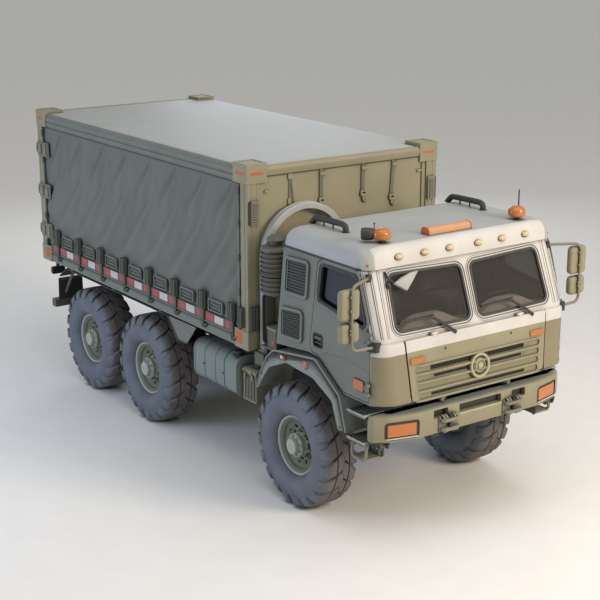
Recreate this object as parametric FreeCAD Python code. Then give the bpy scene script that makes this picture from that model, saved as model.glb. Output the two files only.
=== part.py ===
"""Military cargo truck: a 6x6 cab-over carrier with a curtain-sided box body.

Millimetres. The truck stands along Y and faces -Y, with +Z up and its right side at -X.
Lengths along Y are set out from the front face of the box body. Heights are set out from
a level that lies hub_z under the wheels' axis. Every piece is shifted at the end, so that
the origin lies on the ground under the middle of the whole truck.
"""
import FreeCAD, Part
import math
import os

V = FreeCAD.Vector

# ---------------------------------------------------------------- driving dimensions
# box body
box_width = 2500.0            # over the corner castings
box_length = 4870.0           # front face to rear face
box_height = 1947.0           # underside to top of the castings
casting_width = 250.0         # corner casting across the truck
casting_length = 257.0        # corner casting along the truck
casting_height = 205.0
casting_proud = 6.0           # how far a casting stands out of its post
casting_wall = 45.0           # depth of the casting's holes
post_width = 150.0            # corner post across the truck
post_length = 130.0           # corner post along the truck
sill_width = 60.0
top_rail_width = 84.0
rail_drop = 10.0              # top rail, roof frame and front header below the castings' top
floor_rise = 162.0            # box underside to the top of the floor
floor_plate = 45.0
bearer_width = 80.0
roof_sheet = 30.0
roof_drop = 55.0              # underside of the roof sheet below the castings' top
roof_bow = 45.0
wall_sheet = 40.0             # front wall panel
end_depth = 86.0              # header, sill and front frame along the truck
curtain_thickness = 14.0
curtain_setback = 12.0        # curtain behind the face of its sill
rear_door_thickness = 55.0
rear_door_gap = 8.0
rear_pin_radius = 9.0
rear_hinge_radius = 17.0
rear_hinge_out = 23.0         # hinge's middle line behind the box
rear_hinge_in = 12.0          # and inside its width
buckle_pitch = 585.0          # curtain buckles along the sill
buckle_start = 300.0

# wheels
hub_z = 640.0                 # wheels' axis above the level that heights start from
wheel_radius = 640.0
tyre_width = 430.0
track_half = 1035.0           # middle of a tyre from the middle of the truck
seat_radius = 262.0           # tyre seat on the rim
rim_flange_radius = 310.0
rim_half_width = 130.0
rim_flange = 15.0
rim_wall = 20.0
disc_inner = 30.0             # wheel disc from the tyre's middle plane
disc_outer = 52.0
disc_ring = 40.0              # flat of the disc round the hub
vent_count = 10
vent_radius = 22.0
hub_radius = 135.0
hub_reach = 190.0             # hub cap ahead of the tyre's middle plane
hub_inner = -38.0
hub_cap = 25.0
spindle_radius = 60.0
running_gap = 0.3             # round a spindle or a pin
front_axle_y = -722.0
bogie_gap = 145.0             # between the tyres of the two rear axles
rear_overhang = 1164.0        # rear axle to the rear face of the box

# axles, springs and steering
axle_radius = 80.0
housing_radius = 170.0
drum_radius = 195.0
kingpin_offset = 155.0        # kingpin inside the tyre's middle plane
kingpin_radius = 25.0
pin_reach = 160.0             # kingpin above the axle's middle line
boss_height = 90.0
boss_radius = 75.0
yoke_plate = 45.0             # each arm of a knuckle's yoke
yoke_back = 29.0
yoke_reach = 110.0            # outer face of the yoke from the kingpin
steer_arm = 200.0             # kingpin to the tie rod's ball pin
arm_height = 25.0
tie_rod_drop = 100.0          # tie rod under the axle's middle line
tie_rod_radius = 17.0
ball_pin_radius = 9.0
eye_radius = 18.0
eye_half = 20.0
spring_width = 90.0
rear_spring_x = 500.0
spring_seat = 100.0           # front spring's underside above the axle's middle line
front_spring_reach = 640.0
rear_spring_tail = 60.0       # rear spring beyond the axles
front_spring_thick = 75.0
rear_spring_thick = 110.0

# frame
frame_rise = 320.0            # frame rail's underside above the wheels' axis
rail_depth = 270.0
rail_half = 385.0             # frame rail's middle from the middle of the truck
rail_width = 80.0
rail_plate = 12.0
rail_front = -1960.0
rail_tail = 170.0             # frame ends this far ahead of the box's rear face
subframe_height = 100.0
bolster_height = 128.0
bolster_half = 800.0
cross_tube_radius = 55.0
tow_pin_radius = 22.0
tow_pin_inset = 90.0          # tow pin ahead of the box's rear face
bracket_reach = 640.0         # inner face of what hangs beside the frame
bracket_height = 80.0
tank_front = 310.0
tank_inset = 48.0             # tank inside the box's width
step_inset = 250.0            # step's back plate inside the box's width
guard_sheet = 12.0

# cab
cab_half = 1200.0
cab_wall = 60.0
cab_rise = 210.0              # cab's underside above the frame
belt_rise = 630.0             # lower edge of the windscreen above the cab's underside
seam_rise = 1250.0            # joint between the cab shell and the roof
roof_rise = 1445.0            # top of the roof
roof_wall = 45.0
roof_band = 45.0              # upright edge of the roof
door_gap = 6.0
glass_thickness = 8.0
hinge_out = 25.0              # door hinge's middle line outside the cab's side
hinge_pin_radius = 9.0
hinge_radius = 17.0
cab_pivot_y = -2060.0
cab_pivot_rise = 170.0        # cab's pivot above the frame
cab_pin_radius = 18.0
flap_thickness = 28.0
flap_gap = 6.0
flap_pin_radius = 8.0
flap_hinge_y = -2086.0
flap_hinge_x = 546.0
lug_reach = 60.0              # half the length of a hinge
lug_length = 30.0

# bumper
bumper_front = -2160.0
bumper_rise = 120.0           # bumper's underside above the frame's
bumper_height = 265.0
hook_front = -2222.0
hook_half = 410.0
hook_pin_radius = 18.0
hook_pin_in = 30.0            # tow pin behind the front of its jaw

# ---------------------------------------------------------------- worked out sizes
half = box_width / 2
rail_in = rail_half - rail_width / 2
rail_out = rail_half + rail_width / 2
web_in = rail_out - rail_plate
rail_rear = box_length - rail_tail
rail_bottom = hub_z + frame_rise
rail_top = rail_bottom + rail_depth
rail_middle = (rail_bottom + rail_top) / 2
subframe_top = rail_top + subframe_height
box_bottom = subframe_top + bolster_height
box_top = box_bottom + box_height
floor_top = box_bottom + floor_rise
frame_top = box_top - rail_drop
low_casting = box_bottom + casting_height
high_casting = box_top - casting_height

face = half - casting_proud            # outer face of posts, sills and rails
casting_x = half - casting_width       # inner side of a casting
post_x = half - post_width
rear_hinge_x = half - rear_hinge_in
rear_hinge_y = box_length + rear_hinge_out
rear_hinge_zs = [low_casting + 197, (low_casting + high_casting) / 2 - 57, high_casting - 290]

rear_axle_y = box_length - rear_overhang
middle_axle_y = rear_axle_y - 2 * wheel_radius - bogie_gap
bogie_y = (middle_axle_y + rear_axle_y) / 2
kingpin_x = track_half - kingpin_offset
spindle_end = track_half + hub_reach - hub_cap - 5
spring_seat_z = hub_z + spring_seat
front_spring_end = spring_seat_z + 50
rear_spring_z = spring_seat_z + 10
guard_in = track_half - tyre_width / 2 + 10
step_in = half - step_inset

tank_rear = middle_axle_y - wheel_radius - 451
tank_bracket_ys = [tank_front + 170, tank_rear - 170]
bracket_z = rail_bottom + 50
cross_ys = [rail_front + 120, 560.0, 1500.0, bogie_y, box_length - 360]
bolster_ys = [200.0, 1430.0, bogie_y, box_length - 260]

cab_bottom = rail_top + cab_rise
cab_pivot_z = rail_top + cab_pivot_rise
seam_z = cab_bottom + seam_rise
roof_top = cab_bottom + roof_rise
hinge_x = cab_half + hinge_out
hinge_zs = [cab_bottom + 160, cab_bottom + 570]
flap_bottom = cab_bottom + 12
flap_top = cab_bottom + 598
flap_hinge_z = flap_top + 20

bumper_bottom = rail_bottom + bumper_rise
bumper_top = bumper_bottom + bumper_height
hook_z = bumper_bottom + 90
hook_pin_y = hook_front + hook_pin_in
tow_pin_y = box_length - tow_pin_inset

front_end = hook_front
rear_end = rear_hinge_y + rear_hinge_radius
middle_y = (front_end + rear_end) / 2
ground_z = hub_z - wheel_radius

# ---------------------------------------------------------------- tables
wheels = [
    # name          side  axle y
    ("front_left", 1, front_axle_y),
    ("front_right", -1, front_axle_y),
    ("middle_left", 1, middle_axle_y),
    ("middle_right", -1, middle_axle_y),
    ("rear_left", 1, rear_axle_y),
    ("rear_right", -1, rear_axle_y),
]
# cab plan at three heights. The corner runs from the front face over a middle point to the
# side: both points are set in from the side, and the middle and side ones back from the front
cab_sections = [
    # z                      front    rear    front_in mid_in mid_back side_back
    (cab_bottom, -2110.0, -392.0, 240.0, 90.0, 50.0, 150.0),
    (cab_bottom + belt_rise, -2052.0, -475.0, 160.0, 50.0, 22.0, 78.0),
    (seam_z, -1825.0, -557.0, 180.0, 70.0, 22.0, 80.0),
]
# outlines on the cab's side: y, and height above the cab's underside
arch_rise = [(-1560.0, 0.0), (-1160.0, 260.0), (-1000.0, 272.0), (-300.0, 200.0)]
door_rise = [(-1948.0, 22.0), (-1948.0, 645.0), (-1728.0, 1228.0), (-1146.0, 1228.0),
             (-1006.0, 294.0), (-1148.0, 282.0), (-1548.0, 22.0)]
window_rise = [(-1905.0, 712.0), (-1742.0, 1192.0), (-1205.0, 1192.0), (-1150.0, 830.0)]
# windscreen pane: x from the middle (left column) or in from the cab's side (right column)
pane_inner = [(55.0, 668.0), (60.0, 1160.0)]
pane_outer = [(268.0, 1186.0), (240.0, 680.0)]
# front fender: how far each point lies from the axle beyond the tyre's radius, and its
# height above the hub. The outer line runs from the rear end to the front end and the
# inner line of the side face runs back
fender_outer = [
    # end  beyond  height
    (1, -68.0, 480.0), (1, -140.0, 670.0), (1, -243.0, 840.0), (1, -368.0, 950.0),
    (-1, -207.0, 1044.0), (-1, 187.0, 784.0), (-1, 293.0, 450.0),
]
fender_inner = [
    (-1, 183.0, 450.0), (-1, 78.0, 710.0), (-1, -232.0, 855.0), (1, -588.0, 890.0),
    (1, -288.0, 760.0), (1, -153.0, 590.0), (1, -83.0, 480.0),
]
bumper_slots = [(-590.0, -410.0), (-270.0, 270.0), (410.0, 590.0)]    # x from, x to


def raised(line):
    return [(y, cab_bottom + rise) for y, rise in line]


def round_front_wheel(line):
    return [(front_axle_y + end * (wheel_radius + beyond), hub_z + height)
            for end, beyond, height in line]


arch_line = raised(arch_rise)
door_line = raised(door_rise)
window_line = raised(window_rise)
hinge_y = door_line[0][0] - 3
pieces = {}


# ---------------------------------------------------------------- shape helpers
def box(x0, x1, y0, y1, z0, z1):
    return Part.makeBox(x1 - x0, y1 - y0, z1 - z0, V(x0, y0, z0))


def side_box(side, near, far, y0, y1, z0, z1):
    """A box between two distances from the middle of the truck, on one side."""
    x0, x1 = sorted((side * near, side * far))
    return box(x0, x1, y0, y1, z0, z1)


def prism(across, low, high, points):
    """Extrude an outline along one axis. Its points are (y, z), (x, z) or (x, y)."""
    corner = {"x": lambda a, b: V(low, a, b),
              "y": lambda a, b: V(a, low, b),
              "z": lambda a, b: V(a, b, low)}[across]
    step = {"x": V(1, 0, 0), "y": V(0, 1, 0), "z": V(0, 0, 1)}[across]
    corners = [corner(a, b) for a, b in points]
    return Part.Face(Part.makePolygon(corners + corners[:1])).extrude(step * (high - low))


def rod(start, end, radius):
    line = V(*end) - V(*start)
    return Part.makeCylinder(radius, line.Length, V(*start), line)


def bent_rod(points, radius):
    """A round bar through its points, with a ball at each bend."""
    runs = [rod(a, b, radius) for a, b in zip(points, points[1:])]
    balls = [Part.makeSphere(radius, V(*p)) for p in points[1:-1]]
    return join(runs + balls)


def join(shapes):
    whole = shapes[0].multiFuse(shapes[1:]) if len(shapes) > 1 else shapes[0]
    return whole.removeSplitter()


def cut(shape, tools):
    return shape.cut(Part.makeCompound(tools)) if tools else shape


def mirrored(shape):
    return shape.mirror(V(0, 0, 0), V(1, 0, 0))


def both(shape):
    """The piece on the right side and its mirror image on the left."""
    return Part.makeCompound(shape.Solids + mirrored(shape).Solids)


def group(shapes):
    return Part.makeCompound([solid for shape in shapes for solid in shape.Solids])


def turned(edges, y, z):
    """Turn a closed outline of edges in the X-Y plane about the X axis, then place it."""
    solid = Part.Face(Part.Wire(edges)).revolve(V(0, 0, 0), V(1, 0, 0), 360)
    solid.translate(V(0, y, z))
    return solid


def outline(points):
    """Straight edges through (x, radius) points, closed."""
    corners = [V(a, r, 0) for a, r in points]
    return [Part.LineSegment(a, b).toShape() for a, b in zip(corners, corners[1:] + corners[:1])]


def offset_line(points, distance):
    """A closed outline moved by a distance: outwards if its points run clockwise, else inwards."""
    moved = []
    for i, (y, z) in enumerate(points):
        (y0, z0), (y1, z1) = points[i - 1], points[(i + 1) % len(points)]
        before = V(y - y0, z - z0, 0).normalize()
        after = V(y1 - y, z1 - z, 0).normalize()
        n0, n1 = V(-before.y, before.x, 0), V(-after.y, after.x, 0)
        share = distance / (1 + n0.dot(n1))
        moved.append((y + (n0.x + n1.x) * share, z + (n0.y + n1.y) * share))
    return moved


# ---------------------------------------------------------------- wheels
def tyre(side, y):
    """One closed ring: bead, bulging side wall, shoulder and crown."""
    bead = rim_half_width - rim_flange
    wall = tyre_width / 2
    crown = wheel_radius
    half_line = [(bead, seat_radius), (bead, rim_flange_radius), (rim_half_width, rim_flange_radius)]
    tread_edge = V(wall - 42, crown - 8, 0)
    edges = []
    for sign in (1, -1):
        points = [V(sign * a, r, 0) for a, r in half_line]
        edges += [Part.LineSegment(a, b).toShape() for a, b in zip(points, points[1:])]
        bulge = V(sign * wall, (rim_flange_radius + crown) / 2 - 10, 0)
        shoulder = V(sign * (wall - 18), crown - 50, 0)
        edges.append(Part.Arc(points[-1], bulge, shoulder).toShape())
        edges.append(Part.LineSegment(shoulder, V(sign * tread_edge.x, tread_edge.y, 0)).toShape())
    edges.append(Part.Arc(tread_edge, V(0, crown, 0), V(-tread_edge.x, tread_edge.y, 0)).toShape())
    edges.append(Part.LineSegment(V(bead, seat_radius, 0), V(-bead, seat_radius, 0)).toShape())
    ring = turned(Part.__sortEdges__(edges), y, hub_z)
    ring.translate(V(side * track_half, 0, 0))
    return ring


def rim(side, y):
    """Barrel with two flanges, a dished disc and a hub bored for its spindle."""
    inner = seat_radius - rim_wall
    bead = rim_half_width - rim_flange
    bore = spindle_radius + running_gap
    line = [(-rim_half_width, inner), (-rim_half_width, rim_flange_radius), (-bead, rim_flange_radius),
            (-bead, seat_radius), (bead, seat_radius), (bead, rim_flange_radius),
            (rim_half_width, rim_flange_radius), (rim_half_width, inner),
            (disc_outer + 30, inner), (disc_outer, hub_radius + disc_ring), (disc_outer, hub_radius),
            (hub_reach - 40, hub_radius - 15), (hub_reach, hub_radius - 50), (hub_reach, 0),
            (hub_reach - hub_cap, 0), (hub_reach - hub_cap, bore),
            (hub_inner, bore), (hub_inner, hub_radius - 30),
            (disc_inner, hub_radius), (disc_inner, hub_radius + disc_ring), (disc_outer + 8, inner)]
    ring = turned(outline(line), y, hub_z)
    vents = []
    for i in range(vent_count):
        angle = 2 * math.pi * i / vent_count
        radius = hub_radius + disc_ring + 12
        vent_y = y + radius * math.cos(angle)
        vent_z = hub_z + radius * math.sin(angle)
        vents.append(rod((disc_inner - 40, vent_y, vent_z), (disc_outer + 60, vent_y, vent_z), vent_radius))
    ring = cut(ring, vents)
    if side < 0:
        ring = mirrored(ring)
    ring.translate(V(side * track_half, 0, 0))
    return ring


for name, side, y in wheels:
    pieces["tyre_" + name] = tyre(side, y)
    pieces["rim_" + name] = rim(side, y)


# ---------------------------------------------------------------- axles and steering
def axle_beam(ends, housing_x, radius, y):
    """A tube about the wheels' axis with a bulging gear housing. ends are (x, radius) steps."""
    right = [V(x, r, 0) for x, r in ends]
    left = [V(-p.x, p.y, 0) for p in reversed(right)]
    near, far = V(housing_x - radius, axle_radius, 0), V(housing_x + radius, axle_radius, 0)
    edges = [Part.LineSegment(a, b).toShape() for a, b in zip(left, left[1:] + [near])]
    edges.append(Part.Arc(near, V(housing_x, radius, 0), far).toShape())
    edges += [Part.LineSegment(a, b).toShape() for a, b in zip([far] + right, right)]
    edges.append(Part.LineSegment(right[-1], left[0]).toShape())
    return turned(edges, y, hub_z)


def spring_pads(x, y):
    return [box(side * x - 50, side * x + 50, y - 70, y + 70, hub_z, spring_seat_z) for side in (-1, 1)]


def front_axle():
    """Axle tube and gear housing with a boss and a kingpin at each end."""
    y = front_axle_y
    solids = [axle_beam([(kingpin_x, axle_radius), (kingpin_x, 0)], -60, housing_radius, y)]
    for x in (-kingpin_x, kingpin_x):
        solids.append(rod((x, y, hub_z - boss_height), (x, y, hub_z + boss_height), boss_radius))
        solids.append(rod((x, y, hub_z - pin_reach + 15), (x, y, hub_z + pin_reach), kingpin_radius))
    return join(solids + spring_pads(rail_half, y))


def knuckle():
    """The left knuckle: a yoke on the kingpin, the wheel spindle and the steering arm."""
    x, y, z = kingpin_x, front_axle_y, hub_z
    low = boss_height + 1
    high = low + yoke_plate
    rod_z = z - tie_rod_drop
    arm_top = rod_z - tie_rod_radius - 8
    body = join([box(x - 50, x + yoke_reach, y - 60, y + 60, z + low, z + high),
                 box(x - 50, x + yoke_reach, y - 60, y + 60, z - high, z - low),
                 box(x + yoke_reach - yoke_back, x + yoke_reach, y - 60, y + 60, z - high, z + high),
                 rod((x + yoke_reach - 5, y, z), (spindle_end, y, z), spindle_radius),
                 box(x - 30, x + 14, y, y + steer_arm + 20, arm_top - arm_height, arm_top)])
    bore = rod((x, y, z - pin_reach - 40), (x, y, z + pin_reach + 40), kingpin_radius + running_gap)
    ball_pin = rod((x, y + steer_arm, arm_top - 5), (x, y + steer_arm, rod_z + 25), ball_pin_radius)
    return join([cut(body, [bore]), ball_pin])


def tie_rod():
    x, y, z = kingpin_x, front_axle_y + steer_arm, hub_z - tie_rod_drop
    solids = [rod((-x + 12, y, z), (x - 12, y, z), tie_rod_radius)]
    bores = []
    for end in (-x, x):
        solids.append(rod((end, y, z - eye_half), (end, y, z + eye_half), eye_radius))
        bores.append(rod((end, y, z - 2 * eye_half), (end, y, z + 2 * eye_half),
                         ball_pin_radius + running_gap))
    return cut(join(solids), bores)


def rear_axle(y):
    shoulder = track_half - 135
    steps = [(shoulder, axle_radius), (shoulder, spindle_radius), (spindle_end, spindle_radius),
             (spindle_end, 0)]
    solids = [axle_beam(steps, 0, housing_radius + 25, y)]
    for side in (-1, 1):
        solids.append(rod((side * (track_half - 195), y, hub_z), (side * (track_half - 50), y, hub_z),
                          drum_radius))
    return join(solids + spring_pads(rear_spring_x, y))


def leaf_spring(x, y, reach, middle_z, end_z, middle_thick, end_thick):
    """A stack of leaves: thick at the middle and thin at both ends."""
    quarter = reach * 0.45
    step = (middle_z + end_z) / 2
    lower = [(y - reach, end_z), (y - quarter, step), (y - 90, middle_z),
             (y + 90, middle_z), (y + quarter, step), (y + reach, end_z)]
    upper = [(y + reach, end_z + end_thick), (y + 110, middle_z + middle_thick),
             (y - 110, middle_z + middle_thick), (y - reach, end_z + end_thick)]
    return prism("x", x - spring_width / 2, x + spring_width / 2, lower + upper)


pieces["front_axle"] = front_axle()
pieces["knuckle_left"] = knuckle()
pieces["knuckle_right"] = mirrored(knuckle())
pieces["tie_rod"] = tie_rod()
pieces["rear_axles"] = group([rear_axle(middle_axle_y), rear_axle(rear_axle_y)])
pieces["leaf_springs"] = group(
    [leaf_spring(x, front_axle_y, front_spring_reach, spring_seat_z, front_spring_end,
                 front_spring_thick, 40) for x in (-rail_half, rail_half)]
    + [leaf_spring(x, bogie_y, (rear_axle_y - middle_axle_y) / 2 + rear_spring_tail, rear_spring_z,
                   spring_seat_z, rear_spring_thick, 50) for x in (-rear_spring_x, rear_spring_x)])


# ---------------------------------------------------------------- chassis
def under_cab(y):
    """Height of the cab's underside above its rear rests."""
    (y0, z0), (y1, z1) = arch_line[2:]
    return z0 + (z1 - z0) * (y - y0) / (y1 - y0)


def frame_rail(side):
    """A channel with its web outside, and the subframe bar that lies on it."""
    web = side_box(side, web_in, rail_out, rail_front, rail_rear, rail_bottom, rail_top)
    flanges = [side_box(side, rail_in, rail_out, rail_front, rail_rear, z, z + rail_plate)
               for z in (rail_bottom, rail_top - rail_plate)]
    bar = side_box(side, rail_in, rail_out, -190, rail_rear, rail_top - 0.5, subframe_top)
    return join([web, bar] + flanges)


def cross_members():
    """Tubes between the rails, bolsters under the box and the jaw at the tail."""
    tubes = [rod((-web_in, y, rail_middle), (web_in, y, rail_middle), cross_tube_radius)
             for y in cross_ys]
    bolsters = [box(-bolster_half, bolster_half, y - 60, y + 60, subframe_top, box_bottom)
                for y in bolster_ys]
    bolsters.append(box(-half + 60, half - 60, -190, -30, subframe_top, box_bottom))
    jaw = box(-70, 70, cross_ys[-1], tow_pin_y + 45, rail_middle - 60, rail_middle + 60)
    mouth = box(-80, 80, tow_pin_y - 60, tow_pin_y + 50, rail_middle - 30, rail_middle + 30)
    pin_hole = rod((0, tow_pin_y, rail_middle - 80), (0, tow_pin_y, rail_middle + 80), tow_pin_radius)
    jaw = join([tubes.pop(), cut(jaw, [mouth, pin_hole])])
    return group(tubes + bolsters + [jaw])


def cab_mounts(side):
    """Pivot bracket with its pin, and the rest behind, cut to the slope of the cab."""
    pin_start = side * (rail_half - 5)
    plate = sorted((pin_start, side * (rail_half + 15)))
    line = [(rail_front + 2, rail_top), (-1880.0, rail_top), (-1880.0, cab_pivot_z - 70),
            (cab_pivot_y, cab_pivot_z + 32), (cab_pivot_y - 12, cab_pivot_z - 28),
            (-1990.0, cab_pivot_z - 50), (rail_front + 2, cab_pivot_z - 90)]
    pivot = join([prism("x", plate[0], plate[1], line),
                  rod((plate[0], cab_pivot_y, cab_pivot_z), (plate[1], cab_pivot_y, cab_pivot_z), 32),
                  rod((pin_start, cab_pivot_y, cab_pivot_z),
                      (side * (rail_half + 70), cab_pivot_y, cab_pivot_z), cab_pin_radius)])
    rest_x = sorted((side * rail_in, side * rail_out))
    rest = prism("x", rest_x[0], rest_x[1],
                 [(-480.0, rail_top), (-400.0, rail_top), (-400.0, under_cab(-400.0) - running_gap),
                  (-480.0, under_cab(-480.0) - running_gap)])
    return [pivot, rest]


def frame_brackets(side):
    """What is bolted to one rail: spring hangers, saddle, fender arm, outriggers."""
    solids = [side_box(side, rail_in, rear_spring_x + 60, bogie_y - 100, bogie_y + 100,
                       rear_spring_z + rear_spring_thick, rail_bottom)]
    for end in (-1, 1):
        y = front_axle_y + end * (front_spring_reach - 50)
        solids.append(side_box(side, rail_in, rail_out, y - 45, y + 45, front_spring_end + 40, rail_bottom))
    arm_z = fender_arm_z
    solids.append(join([side_box(side, rail_in + 10, rail_out, front_axle_y - 40, front_axle_y + 40,
                                 rail_top, arm_z + 30),
                        rod((side * (rail_out - 20), front_axle_y, arm_z),
                            (side * guard_in, front_axle_y, arm_z), 28)]))
    for y in tank_bracket_ys:
        solids.append(side_box(side, rail_out, bracket_reach, y - 40, y + 40,
                               bracket_z, bracket_z + bracket_height))
    solids.append(side_box(side, rail_out, step_in, -1830, -1750, rail_middle + 45, rail_middle + 125))
    return solids + cab_mounts(side)


def powertrain():
    """Engine block, gearbox and transfer case, with plain shafts to the axles."""
    block = box(-rail_in + 8, rail_in - 8, -1300, -250, rail_bottom - 110, rail_top + 330)
    gearbox = box(-230, 230, -250, 420, rail_bottom - 60, rail_top + 60)
    transfer = box(-220, 220, 700, 1180, rail_bottom - 180, rail_top - 50)
    mounts = [box(-web_in, web_in, y - 50, y + 50, rail_bottom + 30, rail_bottom + 90)
              for y in (-1180.0, -330.0, 940.0)]
    link = rod((0, 415, rail_bottom + 20), (0, 705, rail_bottom + 20), 45)
    front_shaft = rod((-60, 720, rail_bottom - 120), (-60, front_axle_y + 100, hub_z + 20), 40)
    rear_shaft = rod((0, 1170, rail_bottom - 60), (0, middle_axle_y - 160, hub_z + 20), 45)
    return join([block, gearbox, transfer, link, front_shaft, rear_shaft] + mounts)


def long_edges(shape, least):
    """Edges that run along the truck."""
    return [e for e in shape.Edges if abs(e.Vertexes[0].Point.y - e.Vertexes[1].Point.y) > least]


def fuel_tank():
    x0, x1 = -half + tank_inset, -bracket_reach
    bottom, top = rail_bottom - 130, rail_bottom + 340
    tank = box(x0, x1, tank_front, tank_rear, bottom, top)
    tank = tank.makeFillet(60, long_edges(tank, 100))
    straps = []
    for share in (0.3, 0.75):
        y = tank_front + share * (tank_rear - tank_front)
        strap = box(x0 - 5, x1, y - 22, y + 22, bottom - 5, top + 5)
        straps.append(strap.makeFillet(64, [e for e in long_edges(strap, 20)
                                            if e.Vertexes[0].Point.x < x0]))
    neck = rod((x0 + 90, tank_front + 90, top - 10), (x0 + 90, tank_front + 90, top + 45), 45)
    return join([tank, neck] + straps)


def battery_box():
    case = box(-half + 110, -bracket_reach - 30, 40, tank_front - 20, rail_bottom - 130, rail_bottom + 240)
    hanger = box(-bracket_reach - 40, -rail_out, 120, 200, bracket_z, bracket_z + bracket_height)
    return join([case, hanger])


def air_tanks():
    x, radius = bracket_reach + 125, 100
    tanks = [rod((x, tank_front + 20, z), (x, tank_rear - 40, z), radius)
             for z in (rail_bottom + 20, rail_bottom + 250)]
    plates = [box(bracket_reach, x, y - 30, y + 30, rail_bottom - 20, rail_bottom + 290)
              for y in tank_bracket_ys]
    return join(tanks + plates)


def silencer():
    """Can and tail pipe on a shelf that reaches out under the air tanks."""
    x, z = half - 210, rail_bottom + 90
    y = (tank_front + tank_rear) / 2 - 30
    can = rod((x, tank_front - 60, z), (x, tank_rear - 40, z), 150)
    tail = rod((x, tank_rear - 50, z), (x, tank_rear + 70, z), 45)
    shelf_z = rail_bottom - 115
    shelf = [box(rail_out, x + 60, y, y + 80, shelf_z, shelf_z + 25),
             box(rail_out, rail_out + 20, y, y + 80, shelf_z, rail_bottom + 140),
             box(x - 60, x + 60, y, y + 80, shelf_z, rail_bottom - 30)]
    return join([can, tail] + shelf)


def rear_mudguard(side):
    """A thin guard over both rear wheels, bent down ahead of the middle one."""
    top = box_bottom - 20
    bend = wheel_radius - 80
    front = middle_axle_y - wheel_radius - 210
    rear = rear_axle_y + wheel_radius + 120
    front_z, rear_z = hub_z + 550, hub_z + 650
    line = [(front - 120, front_z), (front + 60, front_z), (middle_axle_y - bend, top - guard_sheet),
            (rear_axle_y + bend, top - guard_sheet), (rear, rear_z), (rear + 8, rear_z + 9),
            (rear_axle_y + bend + 6, top), (middle_axle_y - bend - 6, top),
            (front + 55, front_z + guard_sheet), (front - 120, front_z + guard_sheet)]
    guard = prism("x", guard_in + 20, half - 30, line)
    sill = face - sill_width
    hangers = [box(sill + 5, sill + 35, y - 30, y + 30, top - 2, box_bottom)
               for y in (middle_axle_y - 400, bogie_y, rear_axle_y + 400)]
    guard = join([guard] + hangers)
    return mirrored(guard) if side < 0 else guard


def underrun_guard():
    bar = box(-half + 20, half - 20, rail_rear - 100, rail_rear, rail_bottom - 110, rail_bottom - 10)
    struts = [side_box(side, rail_half - 35, rail_half + 35, rail_rear - 90, rail_rear - 10,
                       rail_bottom - 20, rail_bottom) for side in (-1, 1)]
    return join([bar] + struts)


def tail_lamp():
    plate = box(-half + 70, -step_in, box_length - 120, box_length - 60, box_bottom - 208, box_bottom - 113)
    bracket = box(-half + 140, -half + 180, box_length - 110, box_length - 70, box_bottom - 118, box_bottom)
    return join([plate, bracket])


fender_arm_z = hub_z + 940
pieces["frame_rails"] = group([frame_rail(-1), frame_rail(1)])
pieces["cross_members"] = cross_members()
pieces["frame_brackets"] = group(frame_brackets(-1) + frame_brackets(1))
pieces["powertrain"] = cut(powertrain(), [pieces["front_axle"], pieces["rear_axles"]])
pieces["fuel_tank"] = fuel_tank()
pieces["battery_box"] = battery_box()
pieces["air_tanks"] = air_tanks()
pieces["silencer"] = silencer()
pieces["rear_mudguards"] = group([rear_mudguard(-1), rear_mudguard(1)])
pieces["underrun_guard"] = underrun_guard()
pieces["tail_lamps"] = both(tail_lamp())


# ---------------------------------------------------------------- front end
def bumper_and_lamps():
    """A bar swept back at its ends, with two jaws for the tow pins, and the lamps let into it."""
    lamp_in, lamp_out = half - 470, half - 165
    right = [(half - 460, bumper_front), (lamp_out, bumper_front + 72), (half, bumper_front + 150),
             (half, rail_front + 30), (half - 240, rail_front + 30), (half - 240, rail_front - 35)]
    bar = prism("z", bumper_bottom, bumper_top, right + [(-x, y) for x, y in reversed(right)])
    lamps = [bar.common(side_box(side, lamp_in, lamp_out, bumper_front - 40, bumper_front + 110,
                                 bumper_top - 160, bumper_top - 20)) for side in (-1, 1)]
    holes = [box(x0, x1, bumper_front - 10, bumper_front + 60, bumper_top - 83, bumper_top - 20)
             for x0, x1 in bumper_slots]
    solids = [cut(bar, lamps + holes)]
    bores = []
    for x in (-hook_half, hook_half):
        solids.append(box(x - 110, x + 110, hook_front, bumper_front + 5, hook_z - 60, hook_z + 60))
        solids.append(box(x - 60, x + 60, rail_front - 36, rail_front, hook_z - 60, hook_z + 50))
        bores.append(box(x - 120, x + 120, hook_front - 10, bumper_front - 5, hook_z - 30, hook_z + 30))
        bores.append(rod((x, hook_pin_y, hook_z - 70), (x, hook_pin_y, hook_z + 70), hook_pin_radius))
    return cut(join(solids), bores), group(lamps)


def cab_step():
    """Back plate, two treads and a bottom stirrup on the right side."""
    x0, x1 = -half + 10, -step_in
    y0, y1 = -1925, -1675
    treads = [box(x0, x1, y0, y1, z - 40, z) for z in (rail_bottom + 380, rail_bottom + 110)]
    plate = box(x1 - 12, x1, y0, y1, rail_bottom - 110, rail_bottom + 380)
    stirrup = box(x0 + 30, x1, y0 + 10, y1 - 10, rail_bottom - 110, rail_bottom - 30)
    return join([plate, stirrup] + treads)


def front_fender():
    """A sheet over the wheel with a broad side face and a plate for its arm."""
    outer = round_front_wheel(fender_outer)
    inner = offset_line(outer, guard_sheet)
    below = hub_z + 300
    hood = prism("x", -half, -guard_in, outer)
    hollow = prism("x", -half - 1, -guard_in + 1,
                   inner + [(inner[-1][0], below), (inner[0][0], below)])
    side = prism("x", -half, -half + 25, outer + round_front_wheel(fender_inner))
    plate = box(-guard_in - 20, -guard_in, front_axle_y - 50, front_axle_y + 50, fender_arm_z - 35,
                roof_top)
    return join([hood.cut(hollow), side, plate.common(hood)])


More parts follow.
